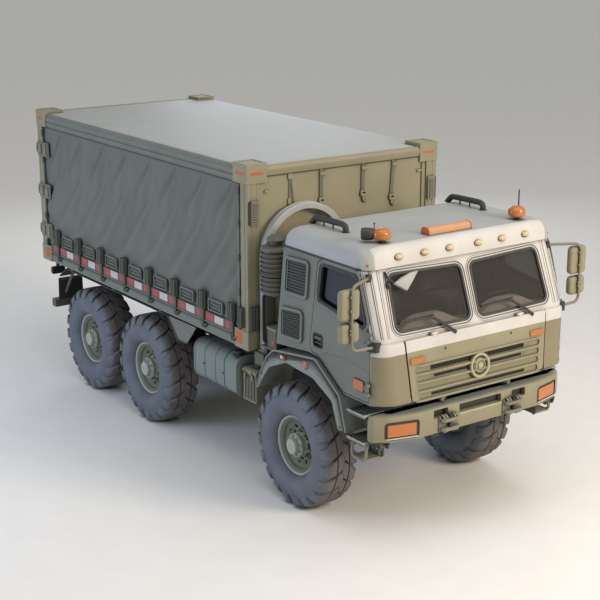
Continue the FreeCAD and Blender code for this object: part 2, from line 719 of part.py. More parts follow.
def rear_hoop():
    """A flat band arched over the gap behind the cab, on two legs."""
    x, z, radius, band = -600.0, box_bottom + 982, 520.0, 60.0
    y0, y1 = -120.0, -30.0
    ring = rod((x, y0, z), (x, y1, z), radius).cut(rod((x, y0 - 1, z), (x, y1 + 1, z), radius - band))
    arch = ring.common(box(x - radius, x + radius, y0 - 1, y1 + 1, z, z + radius))
    legs = [box(a, a + band, y0, y1, box_bottom, z) for a in (x - radius, x + radius - band)]
    return join([arch] + legs)


def air_cleaner():
    """A ringed can with a rain cap, on a post that stands on the front bolster."""
    x, y, radius = -half + 150, -300.0, 165.0
    bottom = box_bottom + 672
    top = bottom + 450
    can = rod((x, y, bottom), (x, y, top), radius - 20)
    rings = [rod((x, y, bottom + 20 + 62 * i), (x, y, bottom + 50 + 62 * i), radius) for i in range(7)]
    neck = rod((x, y, top - 10), (x, y, top + 70), 75)
    cap = rod((x, y, top + 60), (x, y, top + 120), 100)
    post = box(x - 50, x + 50, -190, -145, box_bottom, bottom)
    shelf = box(x - 60, x + 60, y - 60, -145, bottom - 25, bottom + 5)
    return join([can, cap, neck, post, shelf] + rings)


bumper, headlamps = bumper_and_lamps()
pieces["front_bumper"] = bumper
pieces["headlamps"] = headlamps
pieces["cab_steps"] = both(cab_step())
pieces["front_fenders"] = both(front_fender())
pieces["rear_hoop"] = rear_hoop()
pieces["air_cleaner"] = air_cleaner()


# ---------------------------------------------------------------- box body
def casting(z):
    """A corner casting with a hole in its side and one in its end."""
    block = box(casting_x, half, 0, casting_length, z, z + casting_height)
    middle = z + casting_height / 2
    side_hole = box(half - casting_wall, half + 1, 85, 172, middle - 32, middle + 32)
    end_hole = box(casting_x + 85, half - 85, -1, casting_wall, middle - 32, middle + 32)
    return cut(block, [side_hole, end_hole])


def rear_hinge_parts(z):
    """Strap, pin and two lugs on a rear post."""
    x, y = rear_hinge_x, rear_hinge_y
    back = box_length - casting_proud
    parts = [box(face - 1, face + 10, box_length - 320, back, z - 95, z + 95),
             rod((x, y, z - lug_reach), (x, y, z + lug_reach), rear_pin_radius)]
    for low in (z - lug_reach, z + lug_reach - lug_length):
        parts.append(rod((x, y, low), (x, y, low + lug_length), rear_hinge_radius))
        parts.append(box(x - 12, x + 12, back - 1, y, low, low + lug_length))
    return parts


def corner_post(side, end):
    """A post with its two castings; the rear ones also carry the door hinges' pins."""
    post = box(post_x, face, casting_proud, post_length, low_casting - 1, high_casting + 1)
    corner = join([post, casting(box_bottom), casting(high_casting)])
    if end > 0:
        corner = corner.mirror(V(0, box_length / 2, 0), V(0, 1, 0))
        corner = join([corner] + [part for z in rear_hinge_zs for part in rear_hinge_parts(z)])
    return mirrored(corner) if side < 0 else corner


def side_rails(side):
    y0, y1 = casting_length, box_length - casting_length
    return [side_box(side, face - top_rail_width, face, y0, y1, high_casting, frame_top),
            side_box(side, face - sill_width, face, y0, y1, box_bottom, low_casting)]


def notched_sheet(x_wide, z0, z1):
    """A sheet that fills the body in plan, cut in at its four castings."""
    near, far = casting_length, box_length - casting_length
    right = [(casting_x, end_depth), (casting_x, near), (x_wide, near), (x_wide, far),
             (casting_x, far), (casting_x, box_length - end_depth)]
    return prism("z", z0, z1, right + [(-x, y) for x, y in reversed(right)])


def container_floor():
    plate = notched_sheet(face - sill_width, floor_top - floor_plate, floor_top)
    sill = box(-casting_x, casting_x, box_length - end_depth - 1, box_length - casting_proud,
               box_bottom, low_casting)
    return join([plate, sill])


def floor_bearers():
    """Cross bearers under the floor: deep ones on the bolsters and shallow ones between."""
    top = floor_top - floor_plate
    reach = face - sill_width
    solids = []
    for y in bolster_ys:
        at_castings = y < casting_length + 60 or y > box_length - casting_length - 60
        x = casting_x if at_castings else reach
        solids.append(box(-x, x, y - bearer_width / 2, y + bearer_width / 2, box_bottom, top))
    for i in range(6):
        y = 560 + i * (box_length - 1120) / 5
        if min(abs(y - b) for b in bolster_ys) > 150:
            solids.append(box(-reach, reach, y - 30, y + 30, box_bottom + 20, top))
    return group(solids)


def container_roof():
    sheet = notched_sheet(face - top_rail_width, box_top - roof_drop, box_top - roof_drop + roof_sheet)
    header = box(-casting_x, casting_x, box_length - end_depth - 1, box_length - casting_proud,
                 high_casting, frame_top)
    reach = face - top_rail_width
    bows = [box(-reach, reach, share * box_length - 25, share * box_length + 25,
                box_top - roof_drop - roof_bow, box_top - roof_drop + 1) for share in (0.25, 0.5, 0.75)]
    return join([sheet, header] + bows)


def container_front_wall():
    half_line = [(casting_x, box_bottom), (casting_x, low_casting), (post_x, low_casting),
                 (post_x, high_casting), (casting_x, high_casting), (casting_x, frame_top)]
    panel = prism("y", 22, 22 + wall_sheet, half_line + [(-x, z) for x, z in reversed(half_line)])
    header = box(-casting_x, casting_x, casting_proud, end_depth, frame_top - 130, frame_top)
    sill = box(-casting_x, casting_x, casting_proud, end_depth, box_bottom, low_casting)
    return join([panel, header, sill])


def side_curtain(side):
    outer = face - curtain_setback
    return side_box(side, outer - curtain_thickness, outer, post_length, box_length - post_length,
                    low_casting, high_casting)


def buckles():
    """Buckle posts on the curtain's lower edge, as many as the sill has room for."""
    count = int((box_length - 350 - buckle_start) / buckle_pitch) + 1
    solids = [box(-face - 18, -face, y - 30, y + 30, low_casting - 113, low_casting + 197)
              for y in [buckle_start + i * buckle_pitch for i in range(count)]]
    return both(Part.makeCompound(solids))


def rear_door(side):
    """One leaf with its hinge blades and barrels."""
    x, y = rear_hinge_x, rear_hinge_y
    outer = box_length - casting_proud
    solids = [box(rear_door_gap / 2, post_x - rear_door_gap, outer - rear_door_thickness, outer,
                  low_casting + rear_door_gap, high_casting - rear_door_gap)]
    bores = []
    barrel = lug_reach - lug_length - 1
    for z in rear_hinge_zs:
        solids.append(box(post_x - 60, post_x - 12, outer - 5, y - 7, z - 25, z + 25))
        solids.append(box(post_x - 60, x, y - 21, y - 7, z - 25, z + 25))
        solids.append(rod((x, y, z - barrel), (x, y, z + barrel), rear_hinge_radius))
        bores.append(rod((x, y, z - barrel - 10), (x, y, z + barrel + 10), rear_pin_radius + running_gap))
    door = cut(join(solids), bores)
    return mirrored(door) if side < 0 else door


pieces["container_posts"] = group([corner_post(side, end) for side in (-1, 1) for end in (-1, 1)])
pieces["container_side_rails"] = group(side_rails(-1) + side_rails(1))
pieces["container_floor"] = container_floor()
pieces["floor_bearers"] = floor_bearers()
pieces["container_roof"] = container_roof()
pieces["container_front_wall"] = container_front_wall()
pieces["side_curtains"] = group([side_curtain(-1), side_curtain(1)])
pieces["curtain_buckles"] = buckles()
pieces["rear_door_left"] = rear_door(1)
pieces["rear_door_right"] = rear_door(-1)


# ---------------------------------------------------------------- cab
def plan_wire(row, inset):
    """Cab plan at one height, moved inwards by inset."""
    z, front, rear, front_in, mid_in, mid_back, side_back = row
    front, rear = front + inset, rear - inset
    side = cab_half - inset
    right = [(cab_half - front_in - inset * 0.5, front),
             (cab_half - mid_in - inset * 0.8, front + mid_back - inset * 0.1),
             (side, front + side_back - inset * 0.2), (side, rear)]
    corners = [V(x, y, z) for x, y in right] + [V(-x, y, z) for x, y in reversed(right)]
    return Part.makePolygon(corners + corners[:1])


def cab_solid(inset):
    rows = [plan_wire(row, inset) for row in cab_sections]
    lower = Part.makeLoft(rows[:2], True, True)
    upper = Part.makeLoft(rows[1:], True, True)
    return lower.fuse(upper)


def front_y(z):
    """The cab's front face at a height, by straight lines between its sections."""
    for low, high in zip(cab_sections, cab_sections[1:]):
        if z <= high[0]:
            return low[1] + (high[1] - low[1]) * (z - low[0]) / (high[0] - low[0])
    return cab_sections[-1][1]


def front_slab(x, z0, z1, near, far):
    """A slab that follows the cab's front face, near and far being its depths behind it."""
    return prism("x", -x, x, [(front_y(z0) + near, z0), (front_y(z0) + far, z0),
                              (front_y(z1) + far, z1), (front_y(z1) + near, z1)])


def windscreen_openings():
    pane = [(x, cab_bottom + rise) for x, rise in pane_inner]
    pane += [(cab_half - x, cab_bottom + rise) for x, rise in pane_outer]
    right = prism("y", -2300, -1700, pane)
    return [right, mirrored(right)]


def windscreen():
    slab = front_slab(cab_half - 200, cab_bottom + 650, cab_bottom + 1210, 12, 12 + glass_thickness)
    return group([slab.common(opening) for opening in windscreen_openings()])


def hinge_knuckle(x, y, z, pin):
    """Pin and the two outer lugs of a hinge that stands upright."""
    parts = [rod((x, y, z - lug_reach), (x, y, z + lug_reach), pin)]
    for low in (z - lug_reach, z + lug_reach - lug_length):
        parts.append(rod((x, y, low), (x, y, low + lug_length), hinge_radius))
    return parts


def shell_fittings(side):
    """Door hinge pins and lugs, the cab's pivot lug and the front flap's hinge lugs."""
    parts = []
    for z in hinge_zs:
        parts += hinge_knuckle(side * hinge_x, hinge_y, z, hinge_pin_radius)
        for low in (z - lug_reach, z + lug_reach - lug_length):
            parts.append(side_box(side, cab_half - 40, hinge_x + 8, hinge_y - 34, hinge_y - 8,
                                  low, low + lug_length))
    parts.append(side_box(side, rail_half + 20, rail_half + 60, cab_pivot_y - 35, cab_pivot_y + 30,
                          cab_pivot_z - 28, cab_bottom + 2))
    x, y, z = side * flap_hinge_x, flap_hinge_y, flap_hinge_z
    for lug in (x - 40, x + 28):
        parts.append(rod((lug, y, z), (lug + 12, y, z), 11))
        parts.append(box(lug, lug + 12, y, front_y(z) + 10, z - 8, z + 8))
    parts.append(rod((x - 40, y, z), (x + 40, y, z), flap_pin_radius))
    return parts


def cab_shell():
    """Floor, walls and pillars in one hollow shell, open at the doors, windscreen and roof."""
    deep = cab_bottom - 100
    rear_z = arch_line[-1][1] - 30
    under = arch_line + [(0.0, rear_z), (0.0, deep), (-1560.0, deep)]
    outer = cut(cab_solid(0), [prism("x", -cab_half - 300, cab_half + 300, under)])
    floor = [(-2500.0, cab_bottom + cab_wall)] + [(y, z + cab_wall) for y, z in arch_line] \
        + [(0.0, rear_z + cab_wall), (0.0, deep), (-2500.0, deep)]
    inner = cut(cab_solid(cab_wall), [prism("x", -cab_half - 300, cab_half + 300, floor)])
    doorway = prism("x", cab_half - cab_wall - door_gap, cab_half + 50, offset_line(door_line, door_gap))
    shell = cut(outer.cut(inner), [doorway, mirrored(doorway)] + windscreen_openings())
    shell = join([shell] + shell_fittings(-1) + shell_fittings(1))
    bores = []
    for side in (-1, 1):
        bores.append(rod((side * (rail_half + 10), cab_pivot_y, cab_pivot_z),
                         (side * (rail_half + 90), cab_pivot_y, cab_pivot_z), cab_pin_radius + running_gap))
    return cut(shell, bores)


def roof_ring(z, side, front, rear, corner):
    right = [(side - corner, front), (side, front + corner), (side, rear)]
    points = [V(x, y, z) for x, y in right] + [V(-x, y, z) for x, y in reversed(right)]
    return Part.makePolygon(points + points[:1])


def roof_hood(inset):
    front, rear = cab_sections[-1][1], cab_sections[-1][2]
    side = cab_half - inset
    corner = 110 - inset * 0.5
    low = roof_ring(seam_z, side, front - 30 + inset, rear - 2 - inset, corner)
    mid = roof_ring(seam_z + roof_band, side, front - 30 + inset, rear - 6 - inset, corner)
    top = roof_ring(roof_top - inset, cab_half - 255, front + 15, rear - 40 - inset, 60)
    return Part.makeLoft([low, mid], True, True).fuse(Part.makeLoft([mid, top], True, True))


def door(side):
    """One door and its glass."""
    leaf = prism("x", cab_half - cab_wall, cab_half, door_line)
    leaf = leaf.cut(prism("x", cab_half - cab_wall - 10, cab_half + 10, window_line))
    solids, bores = [leaf], []
    barrel = lug_reach - lug_length - 1
    for z in hinge_zs:
        solids.append(rod((hinge_x, hinge_y, z - barrel), (hinge_x, hinge_y, z + barrel), hinge_radius))
        solids.append(box(cab_half - 5, hinge_x + 8, hinge_y + 4, hinge_y + 70, z - 25, z + 25))
        bores.append(rod((hinge_x, hinge_y, z - barrel - 10), (hinge_x, hinge_y, z + barrel + 10),
                         hinge_pin_radius + running_gap))
    leaf = cut(join(solids), bores)
    glass_x = cab_half - cab_wall / 2
    glass = prism("x", glass_x - glass_thickness, glass_x, window_line)
    return (mirrored(leaf), mirrored(glass)) if side < 0 else (leaf, glass)


def front_flap():
    """The grille panel below the windscreen, with its two hinge barrels."""
    slab = front_slab(cab_half, flap_bottom, flap_top, -flap_gap - flap_thickness, -flap_gap)
    low_x, high_x = cab_half - 360, cab_half - 305
    panel = slab.common(prism("y", -2300, -1900, [(-low_x, flap_bottom), (low_x, flap_bottom),
                                                  (high_x, flap_top), (-high_x, flap_top)]))
    solids, bores = [panel], []
    y, z = flap_hinge_y, flap_hinge_z
    for x in (-flap_hinge_x, flap_hinge_x):
        solids.append(rod((x - 26, y, z), (x + 26, y, z), 15))
        solids.append(box(x - 24, x + 24, y - 2, y + 12, flap_top - 12, z))
        bores.append(rod((x - 40, y, z), (x + 40, y, z), flap_pin_radius + running_gap))
    return cut(join(solids), bores)


def dashboard():
    shelf = prism("x", -cab_half, cab_half,
                  raised([(-2100, 340), (-2100, 590), (-1900, 645), (-1770, 620), (-1740, 520), (-1800, 340)]))
    side = cab_half - cab_wall - 2 * door_gap
    room = box(-side, side, -2200, -1700, cab_bottom, roof_top)
    return shelf.common(cab_solid(cab_wall + running_gap)).common(room)


def steering_wheel():
    """Wheel on its column, which a bracket ties to the dashboard."""
    x, y, z = 560, -1610, cab_bottom + 690
    lean = V(0, 0.42, 0.9)
    hub = V(x, y, z)
    foot = hub - lean * 215
    return join([Part.makeTorus(225, 16, hub, lean),
                 Part.makeCylinder(48, 40, hub - lean * 20, lean),
                 rod((x, y, z), (foot.x, foot.y, foot.z), 26),
                 rod((x - 215, y, z), (x + 215, y, z), 12),
                 box(x - 35, x + 35, y - 190, y - 80, z - 200, z - 140)]).cut(pieces["dashboard"])


def seats():
    base = [(y, under_cab(y) + cab_wall) for y in (-1000, -700)]
    line = base + raised([(-700, 480), (-640, 1100), (-740, 1120), (-800, 570), (-1200, 580),
                          (-1200, 490), (-1000, 460)])
    return group([prism("x", x - 250, x + 250, line) for x in (-620, 620)])


def mirror_set():
    """Right-hand arm with an upper and a lower mirror housing."""
    out, y = -cab_half - 215, -1950.0
    high, low = cab_bottom + 1180, cab_bottom + 580
    arm = bent_rod([(-cab_half + 50, -1830, high), (out, y, high), (out, y, low),
                    (-cab_half + 20, -2018, low)], 15)
    feet = [box(-cab_half + 10, -cab_half + 80, -1835, -1790, high - 30, high + 30),
            box(-cab_half - 5, -cab_half + 60, -2045, -1995, low - 35, low + 35)]
    housings = [box(out - 115, out + 115, y - 35, y + 35, cab_bottom + z0, cab_bottom + z1)
                for z0, z1 in ((860, 1150), (645, 840))]
    housings = [h.makeFillet(28, [e for e in h.Edges if e.Length > 150]) for h in housings]
    return join([arm] + feet + housings).cut(cab_solid(0))


def roof_lamps():
    """A light bar across the middle and a beacon near each front corner."""
    solids = [box(-290, 290, -1520, -1400, roof_top, roof_top + 115)]
    for x in (-cab_half + 340, cab_half - 340):
        solids.append(join([rod((x, -1640, roof_top), (x, -1640, roof_top + 75), 62),
                            rod((x, -1640, roof_top + 75), (x, -1640, roof_top + 150), 52)]))
    return group(solids)


def grab_handle():
    x, top = -cab_half + 320, roof_top + 85
    return bent_rod([(x, -1110, roof_top), (x, -1110, top), (x, -760, top), (x, -700, top - 5),
                     (x, -640, top), (x, -640, roof_top)], 20)


door_left, glass_left = door(1)
door_right, glass_right = door(-1)
pieces["cab_shell"] = cab_shell()
pieces["cab_roof"] = roof_hood(0).cut(roof_hood(roof_wall))
pieces["windscreen"] = windscreen()
pieces["door_left"] = door_left
pieces["door_right"] = door_right
pieces["door_glass_left"] = glass_left
pieces["door_glass_right"] = glass_right
pieces["front_flap"] = front_flap()
pieces["dashboard"] = dashboard()
pieces["steering_wheel"] = steering_wheel()
pieces["seats"] = seats()
pieces["mirrors"] = both(mirror_set())
pieces["roof_lamps"] = roof_lamps()
pieces["grab_handles"] = both(grab_handle())


# ---------------------------------------------------------------- out
os.makedirs("parts", exist_ok=True)
for name, shape in pieces.items():
    placed = shape.copy()
    placed.translate(V(0, -middle_y, -ground_z))
    placed.exportStep("parts/" + name + ".step")
    print(name, len(placed.Solids), placed.isValid(), round(placed.Volume / 1e9, 4))
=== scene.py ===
import math
import random

import bmesh
import bpy
from mathutils import Matrix, Vector


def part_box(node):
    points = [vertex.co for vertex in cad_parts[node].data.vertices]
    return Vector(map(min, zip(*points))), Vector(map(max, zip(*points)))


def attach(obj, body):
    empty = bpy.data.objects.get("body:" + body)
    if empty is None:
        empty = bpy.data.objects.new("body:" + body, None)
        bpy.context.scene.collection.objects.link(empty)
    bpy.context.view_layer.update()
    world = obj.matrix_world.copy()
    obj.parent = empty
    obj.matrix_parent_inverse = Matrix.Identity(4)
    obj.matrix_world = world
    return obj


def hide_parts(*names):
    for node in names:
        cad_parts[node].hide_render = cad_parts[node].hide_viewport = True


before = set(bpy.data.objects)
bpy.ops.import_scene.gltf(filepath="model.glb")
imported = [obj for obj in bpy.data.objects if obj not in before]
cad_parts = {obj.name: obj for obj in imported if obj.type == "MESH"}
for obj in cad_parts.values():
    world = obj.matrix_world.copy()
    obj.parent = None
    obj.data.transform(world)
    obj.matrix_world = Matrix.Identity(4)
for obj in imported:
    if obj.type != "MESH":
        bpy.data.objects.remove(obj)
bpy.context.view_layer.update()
random.seed(7)
print("stage: frame loaded,", len(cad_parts), "nodes")

# metres. The truck faces -Y, its right side is at -X. y is set out from the front face of the box body
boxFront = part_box("container_posts")[0].y


def at(x, y, z):
    return Vector((x, boxFront + y, z))


# a shape is a pair of points and faces

def linear(hexColour):
    channels = [int(hexColour[i:i + 2], 16) / 255 for i in (1, 3, 5)]
    return [c / 12.92 if c <= 0.04045 else ((c + 0.055) / 1.055) ** 2.4 for c in channels] + [1.0]


def joined(shapes):
    points, faces = [], []
    for shapePoints, shapeFaces in shapes:
        start = len(points)
        points += [Vector(p) for p in shapePoints]
        faces += [tuple(start + i for i in face) for face in shapeFaces]
    return points, faces


def placed(shape, matrix):
    return [matrix @ Vector(p) for p in shape[0]], shape[1]


def moved(shape, shift):
    return placed(shape, Matrix.Translation(shift))


def mirrored(shape):
    return [Vector((-p[0], p[1], p[2])) for p in shape[0]], [tuple(reversed(f)) for f in shape[1]]


def both(shape):
    return [shape, mirrored(shape)]


def pairs(shapes):
    return [s for shape in shapes for s in both(shape)]


def loft(rings, capped=True, around=True):
    # rings of the same number of points, joined one to the next
    count = len(rings[0])
    points = [Vector(p) for ring in rings for p in ring]
    faces = []
    for i in range(len(rings) - 1):
        for k in range(count if around else count - 1):
            n = (k + 1) % count
            faces.append((i * count + k, i * count + n, (i + 1) * count + n, (i + 1) * count + k))
    if capped:
        faces += [tuple(reversed(range(count))), tuple(range(len(points) - count, len(points)))]
    return points, faces


def block(low, high):
    (x0, y0, z0), (x1, y1, z1) = low, high
    ring = [(x0, y0), (x1, y0), (x1, y1), (x0, y1)]
    return loft([[(x, y, z) for x, y in ring] for z in (z0, z1)])


def onAxis(axis, outline, c):
    # points of an outline of (y, z), (x, z) or (x, y), at c along x, y or z
    return [{"x": (c, a, b), "y": (a, c, b), "z": (a, b, c)}[axis] for a, b in outline]


def prism(outline, axis, low, high):
    return loft([onAxis(axis, outline, c) for c in (low, high)])


def band(outer, inner, axis, low, high):
    # a frame between two outlines of the same number of points
    rings = [(outer, low), (outer, high), (inner, high), (inner, low), (outer, low)]
    return loft([onAxis(axis, outline, c) for outline, c in rings], capped=False)


def rounded(points, radius, steps=5, closed=True):
    # each corner becomes an arc of this radius, smaller where its sides are short
    points = [Vector(p) for p in points]
    result = []
    for i, corner in enumerate(points):
        if not closed and i in (0, len(points) - 1):
            result.append(corner)
            continue
        before, after = points[i - 1] - corner, points[(i + 1) % len(points)] - corner
        halfTurn = before.angle(after) / 2
        size = radius[i] if isinstance(radius, (list, tuple)) else radius
        back = size / math.tan(halfTurn) if size and halfTurn < 1.56 else 0
        back = min(back, before.length * 0.48, after.length * 0.48)
        if back < 1e-5:
            result.append(corner)
            continue
        start, end = corner + before.normalized() * back, corner + after.normalized() * back
        centre = corner + (before.normalized() + after.normalized()).normalized() * (back / math.cos(halfTurn))
        for k in range(steps + 1):
            spoke = (start - centre).lerp(end - centre, k / steps)
            result.append(centre + spoke.normalized() * (start - centre).length)
    return result


def offset(outline, distance):
    # a closed outline moved outwards (or inwards where the distance is negative), point for point
    count = len(outline)
    area = sum(outline[i][0] * outline[(i + 1) % count][1] - outline[(i + 1) % count][0] * outline[i][1]
        for i in range(count))
    turn = 1 if area > 0 else -1
    result = []
    for i in range(count):
        a, b, c = Vector(outline[i - 1]), Vector(outline[i]), Vector(outline[(i + 1) % count])
        first, second = (b - a).normalized(), (c - b).normalized()
        first = Vector((first.y, -first.x)) * turn
        second = Vector((second.y, -second.x)) * turn
        result.append(b + (first + second) * (distance / (1 + first.dot(second))))
    return result


def rectangle(a0, b0, a1, b1):
    return [(a0, b0), (a1, b0), (a1, b1), (a0, b1)]


def roundRect(a0, b0, a1, b1, radius, steps=4):
    return rounded(rectangle(a0, b0, a1, b1), radius, steps)


def slab(axis, low, high, outline, radius, steps=4):
    return prism(rounded(outline, radius, steps), axis, low, high)


def plate(axis, low, high, a0, b0, a1, b1, radius, steps=4):
    return prism(roundRect(a0, b0, a1, b1, radius, steps), axis, low, high)


def sidePlate(low, high, y0, z0, y1, z1, radius, steps=4):
    # a plate on the side, its y set out from the box body
    return plate("x", low, high, boxFront + y0, z0, boxFront + y1, z1, radius, steps)


def brick(x0, y0, z0, x1, y1, z1):
    # a block with y set out from the box body, as in at()
    return block(at(x0, y0, z0), at(x1, y1, z1))


def fromFront(outline):
    return [(boxFront + y, z) for y, z in outline]


def turns(count):
    return [2 * math.pi * k / count for k in range(count)]


def ellipse(wide, tall, count=24):
    return [(wide * math.cos(t), tall * math.sin(t)) for t in turns(count)]


def mirroredLine(line):
    # (x, y) or (x, z) points of the left half, then the same ones on the right, back to the start
    return list(line) + [(-x, b) for x, b in reversed(line)]


def sloping(position, up):
    # a plane up a slope: x across, z up it, -y out of it
    return Matrix.Translation(position) @ Matrix(((1, 0, 0), (0, up.z, up.y), (0, -up.y, up.z))).to_4x4()


def lathe(profile, segments=64, closed=True):
    # (along, radius) points turned about the X axis
    count = len(profile)
    points, faces = [], []
    for i in range(segments):
        turn = 2 * math.pi * i / segments
        points += [Vector((a, r * math.cos(turn), r * math.sin(turn))) for a, r in profile]
        for k in range(count if closed else count - 1):
            j, n = (i + 1) % segments, (k + 1) % count
            faces.append((i * count + k, j * count + k, j * count + n, i * count + n))
    return points, faces


def aim(position, direction):
    # places a shape made along X at a position, pointing in a direction
    return Matrix.Translation(position) @ Vector(direction).to_track_quat("X", "Z").to_matrix().to_4x4()


def turnedAt(position, direction, profile, segments=32):
    return placed(lathe(profile, segments), aim(position, direction))


def rod(start, end, radius, segments=20, chamfer=None):
    start, end = Vector(start), Vector(end)
    length = (end - start).length
    c = radius * 0.12 if chamfer is None else chamfer
    profile = [(0, 0), (0, radius - c), (c, radius), (length - c, radius), (length, radius - c), (length, 0)]
    return turnedAt(start, end - start, profile, segments)


def upright(x, y, low, high, radius, segments=20, chamfer=None):
    return rod((x, y, low), (x, y, high), radius, segments, chamfer)


def tube(path, radius, sides=12, closed=False):
    # a round bar along a line of points, with its section kept square to it
    path = [Vector(p) for p in path]
    rings, up = [], None
    for i, point in enumerate(path):
        before = path[i - 1] if i or closed else point
        after = path[(i + 1) % len(path)] if i < len(path) - 1 or closed else point
        along = (after - before).normalized()
        up = along.orthogonal() if up is None else up - along * up.dot(along)
        up.normalize()
        side = along.cross(up)
        rings.append([point + up * (radius * math.cos(t)) + side * (radius * math.sin(t)) for t in turns(sides)])
    if closed:
        rings.append(rings[0])
    return loft(rings, capped=not closed)


def pipe(path, corner, steps, radius, sides=12):
    # a tube with rounded corners, its y set out from the box body
    return tube([at(*p) for p in rounded(path, corner, steps, closed=False)], radius, sides)


def hexHead(position, direction, radius, height):
    # a bolt head or nut on its washer
    washer = lathe([(0, 0), (0, radius * 1.45), (height * 0.18, radius * 1.45), (height * 0.18, 0)], 16)
    head = lathe([(height * 0.15, 0), (height * 0.15, radius), (height * 0.85, radius), (height, radius * 0.8),
        (height, 0)], 6)
    return placed(joined([washer, head]), aim(position, direction))


def cleaned(mesh):
    work = bmesh.new()
    work.from_mesh(mesh)
    bmesh.ops.remove_doubles(work, verts=work.verts, dist=2e-6)
    bmesh.ops.dissolve_degenerate(work, edges=work.edges, dist=1e-6)
    bmesh.ops.recalc_face_normals(work, faces=work.faces)
    work.to_mesh(mesh)
    work.free()
    return mesh


def meshOf(shape, name="shape"):
    mesh = bpy.data.meshes.new(name)
    mesh.from_pydata([tuple(p) for p in shape[0]], [], shape[1])
    return cleaned(mesh)


def shapeOf(mesh):
    return [v.co.copy() for v in mesh.vertices], [tuple(p.vertices) for p in mesh.polygons]


def addObject(name, data):
    thing = bpy.data.objects.new(name, data)
    bpy.context.scene.collection.objects.link(thing)
    return thing


def evaluated(thing):
    bpy.context.view_layer.update()
    return bpy.data.meshes.new_from_object(thing.evaluated_get(bpy.context.evaluated_depsgraph_get()))


def carved(shape, cutters, operation="DIFFERENCE"):
    # cuts shapes out of a shape (or keeps what they share) and gives what is left
    pair = [addObject("carving", meshOf(part)) for part in (shape, joined(cutters))]
    cut = pair[0].modifiers.new("cut", "BOOLEAN")
    cut.object, cut.operation, cut.solver, cut.use_self = pair[1], operation, "EXACT", len(cutters) > 1
    mesh = evaluated(pair[0])
    result = shapeOf(mesh)
    for used in (pair[0].data, pair[1].data, mesh):
        bpy.data.meshes.remove(used)
    return result


def scored(shape, planes):
    # splits faces along planes, so that each side can take its own paint
    mesh = meshOf(shape)
    work = bmesh.new()
    work.from_mesh(mesh)
    for point, normal in planes:
        everything = work.verts[:] + work.edges[:] + work.faces[:]
        bmesh.ops.bisect_plane(work, geom=everything, plane_co=point, plane_no=normal, dist=1e-6)
    work.to_mesh(mesh)
    work.free()
    result = shapeOf(mesh)
    bpy.data.meshes.remove(mesh)
    return result


def parted(shape, rule):
    # the faces whose middle and normal pass a rule, and the rest
    points, faces = shape
    kept, rest = [], []
    for face in faces:
        corners = [Vector(points[i]) for i in face]
        middle = sum(corners, Vector()) / len(corners)
        normal = sum((a.cross(b) for a, b in zip(corners, corners[1:] + corners[:1])), Vector()).normalized()
        (kept if rule(middle, normal) else rest).append(face)
    return (points, kept), (points, rest)


def makePiece(name, body, parts, bevel=0.0, sharp=35, replaces=(), slot=None):
    # parts is a list of (material, shapes). A bevel rounds the edges by that much
    shapes, owners, materials = [], [], []
    for material, group in parts:
        if material not in materials:
            materials.append(material)
        for shape in group:
            shapes.append(shape)
            owners += [materials.index(material)] * len(shape[1])
    points, faces = joined(shapes)
    mesh = bpy.data.meshes.new(name)
    mesh.from_pydata([tuple(p) for p in points], [], faces)
    mesh.polygons.foreach_set("material_index", owners)
    cleaned(mesh)
    for material in materials:
        mesh.materials.append(material)
    mesh.polygons.foreach_set("use_smooth", [True] * len(mesh.polygons))
    piece = addObject(name, mesh)
    if bevel:
        soften(piece, bevel)
    else:
        mesh.set_sharp_from_angle(angle=math.radians(sharp))
    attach(piece, body)
    if replaces:
        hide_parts(*replaces)
    return piece


def soften(piece, width):
    edge = piece.modifiers.new("softEdges", "BEVEL")
    edge.width, edge.segments, edge.limit_method = width, 2, "ANGLE"
    edge.angle_limit, edge.harden_normals = math.radians(32), True
    edge.use_clamp_overlap = True


def smoothed(piece):
    smooth = piece.modifiers.new("smooth", "SUBSURF")
    smooth.levels = smooth.render_levels = 1


def refinished(node, material):
    node.data.materials.clear()
    node.data.materials.append(material)


def simulated(piece, frames):
    # runs the piece's cloth and gives the mesh it ends in
    cache = piece.modifiers["cloth"].point_cache
    cache.frame_start, cache.frame_end = 1, frames
    for number in range(1, frames + 1):
        bpy.context.scene.frame_set(number)
    result = evaluated(piece)
    bpy.context.scene.frame_set(1)
    return result


# materials

def addNode(tree, kind, settings=None, links=None, into=None):
    # into is the socket that its first output drives
    node = tree.nodes.new("ShaderNode" + kind)
    for key, value in (settings or {}).items():
        if isinstance(key, str) and hasattr(node, key):
            setattr(node, key, value)
        else:
            node.inputs[key].default_value = value
    for key, socket in (links or {}).items():
        tree.links.new(socket, node.inputs[key])
    if into:
        tree.links.new(node.outputs[0], into)
    return node


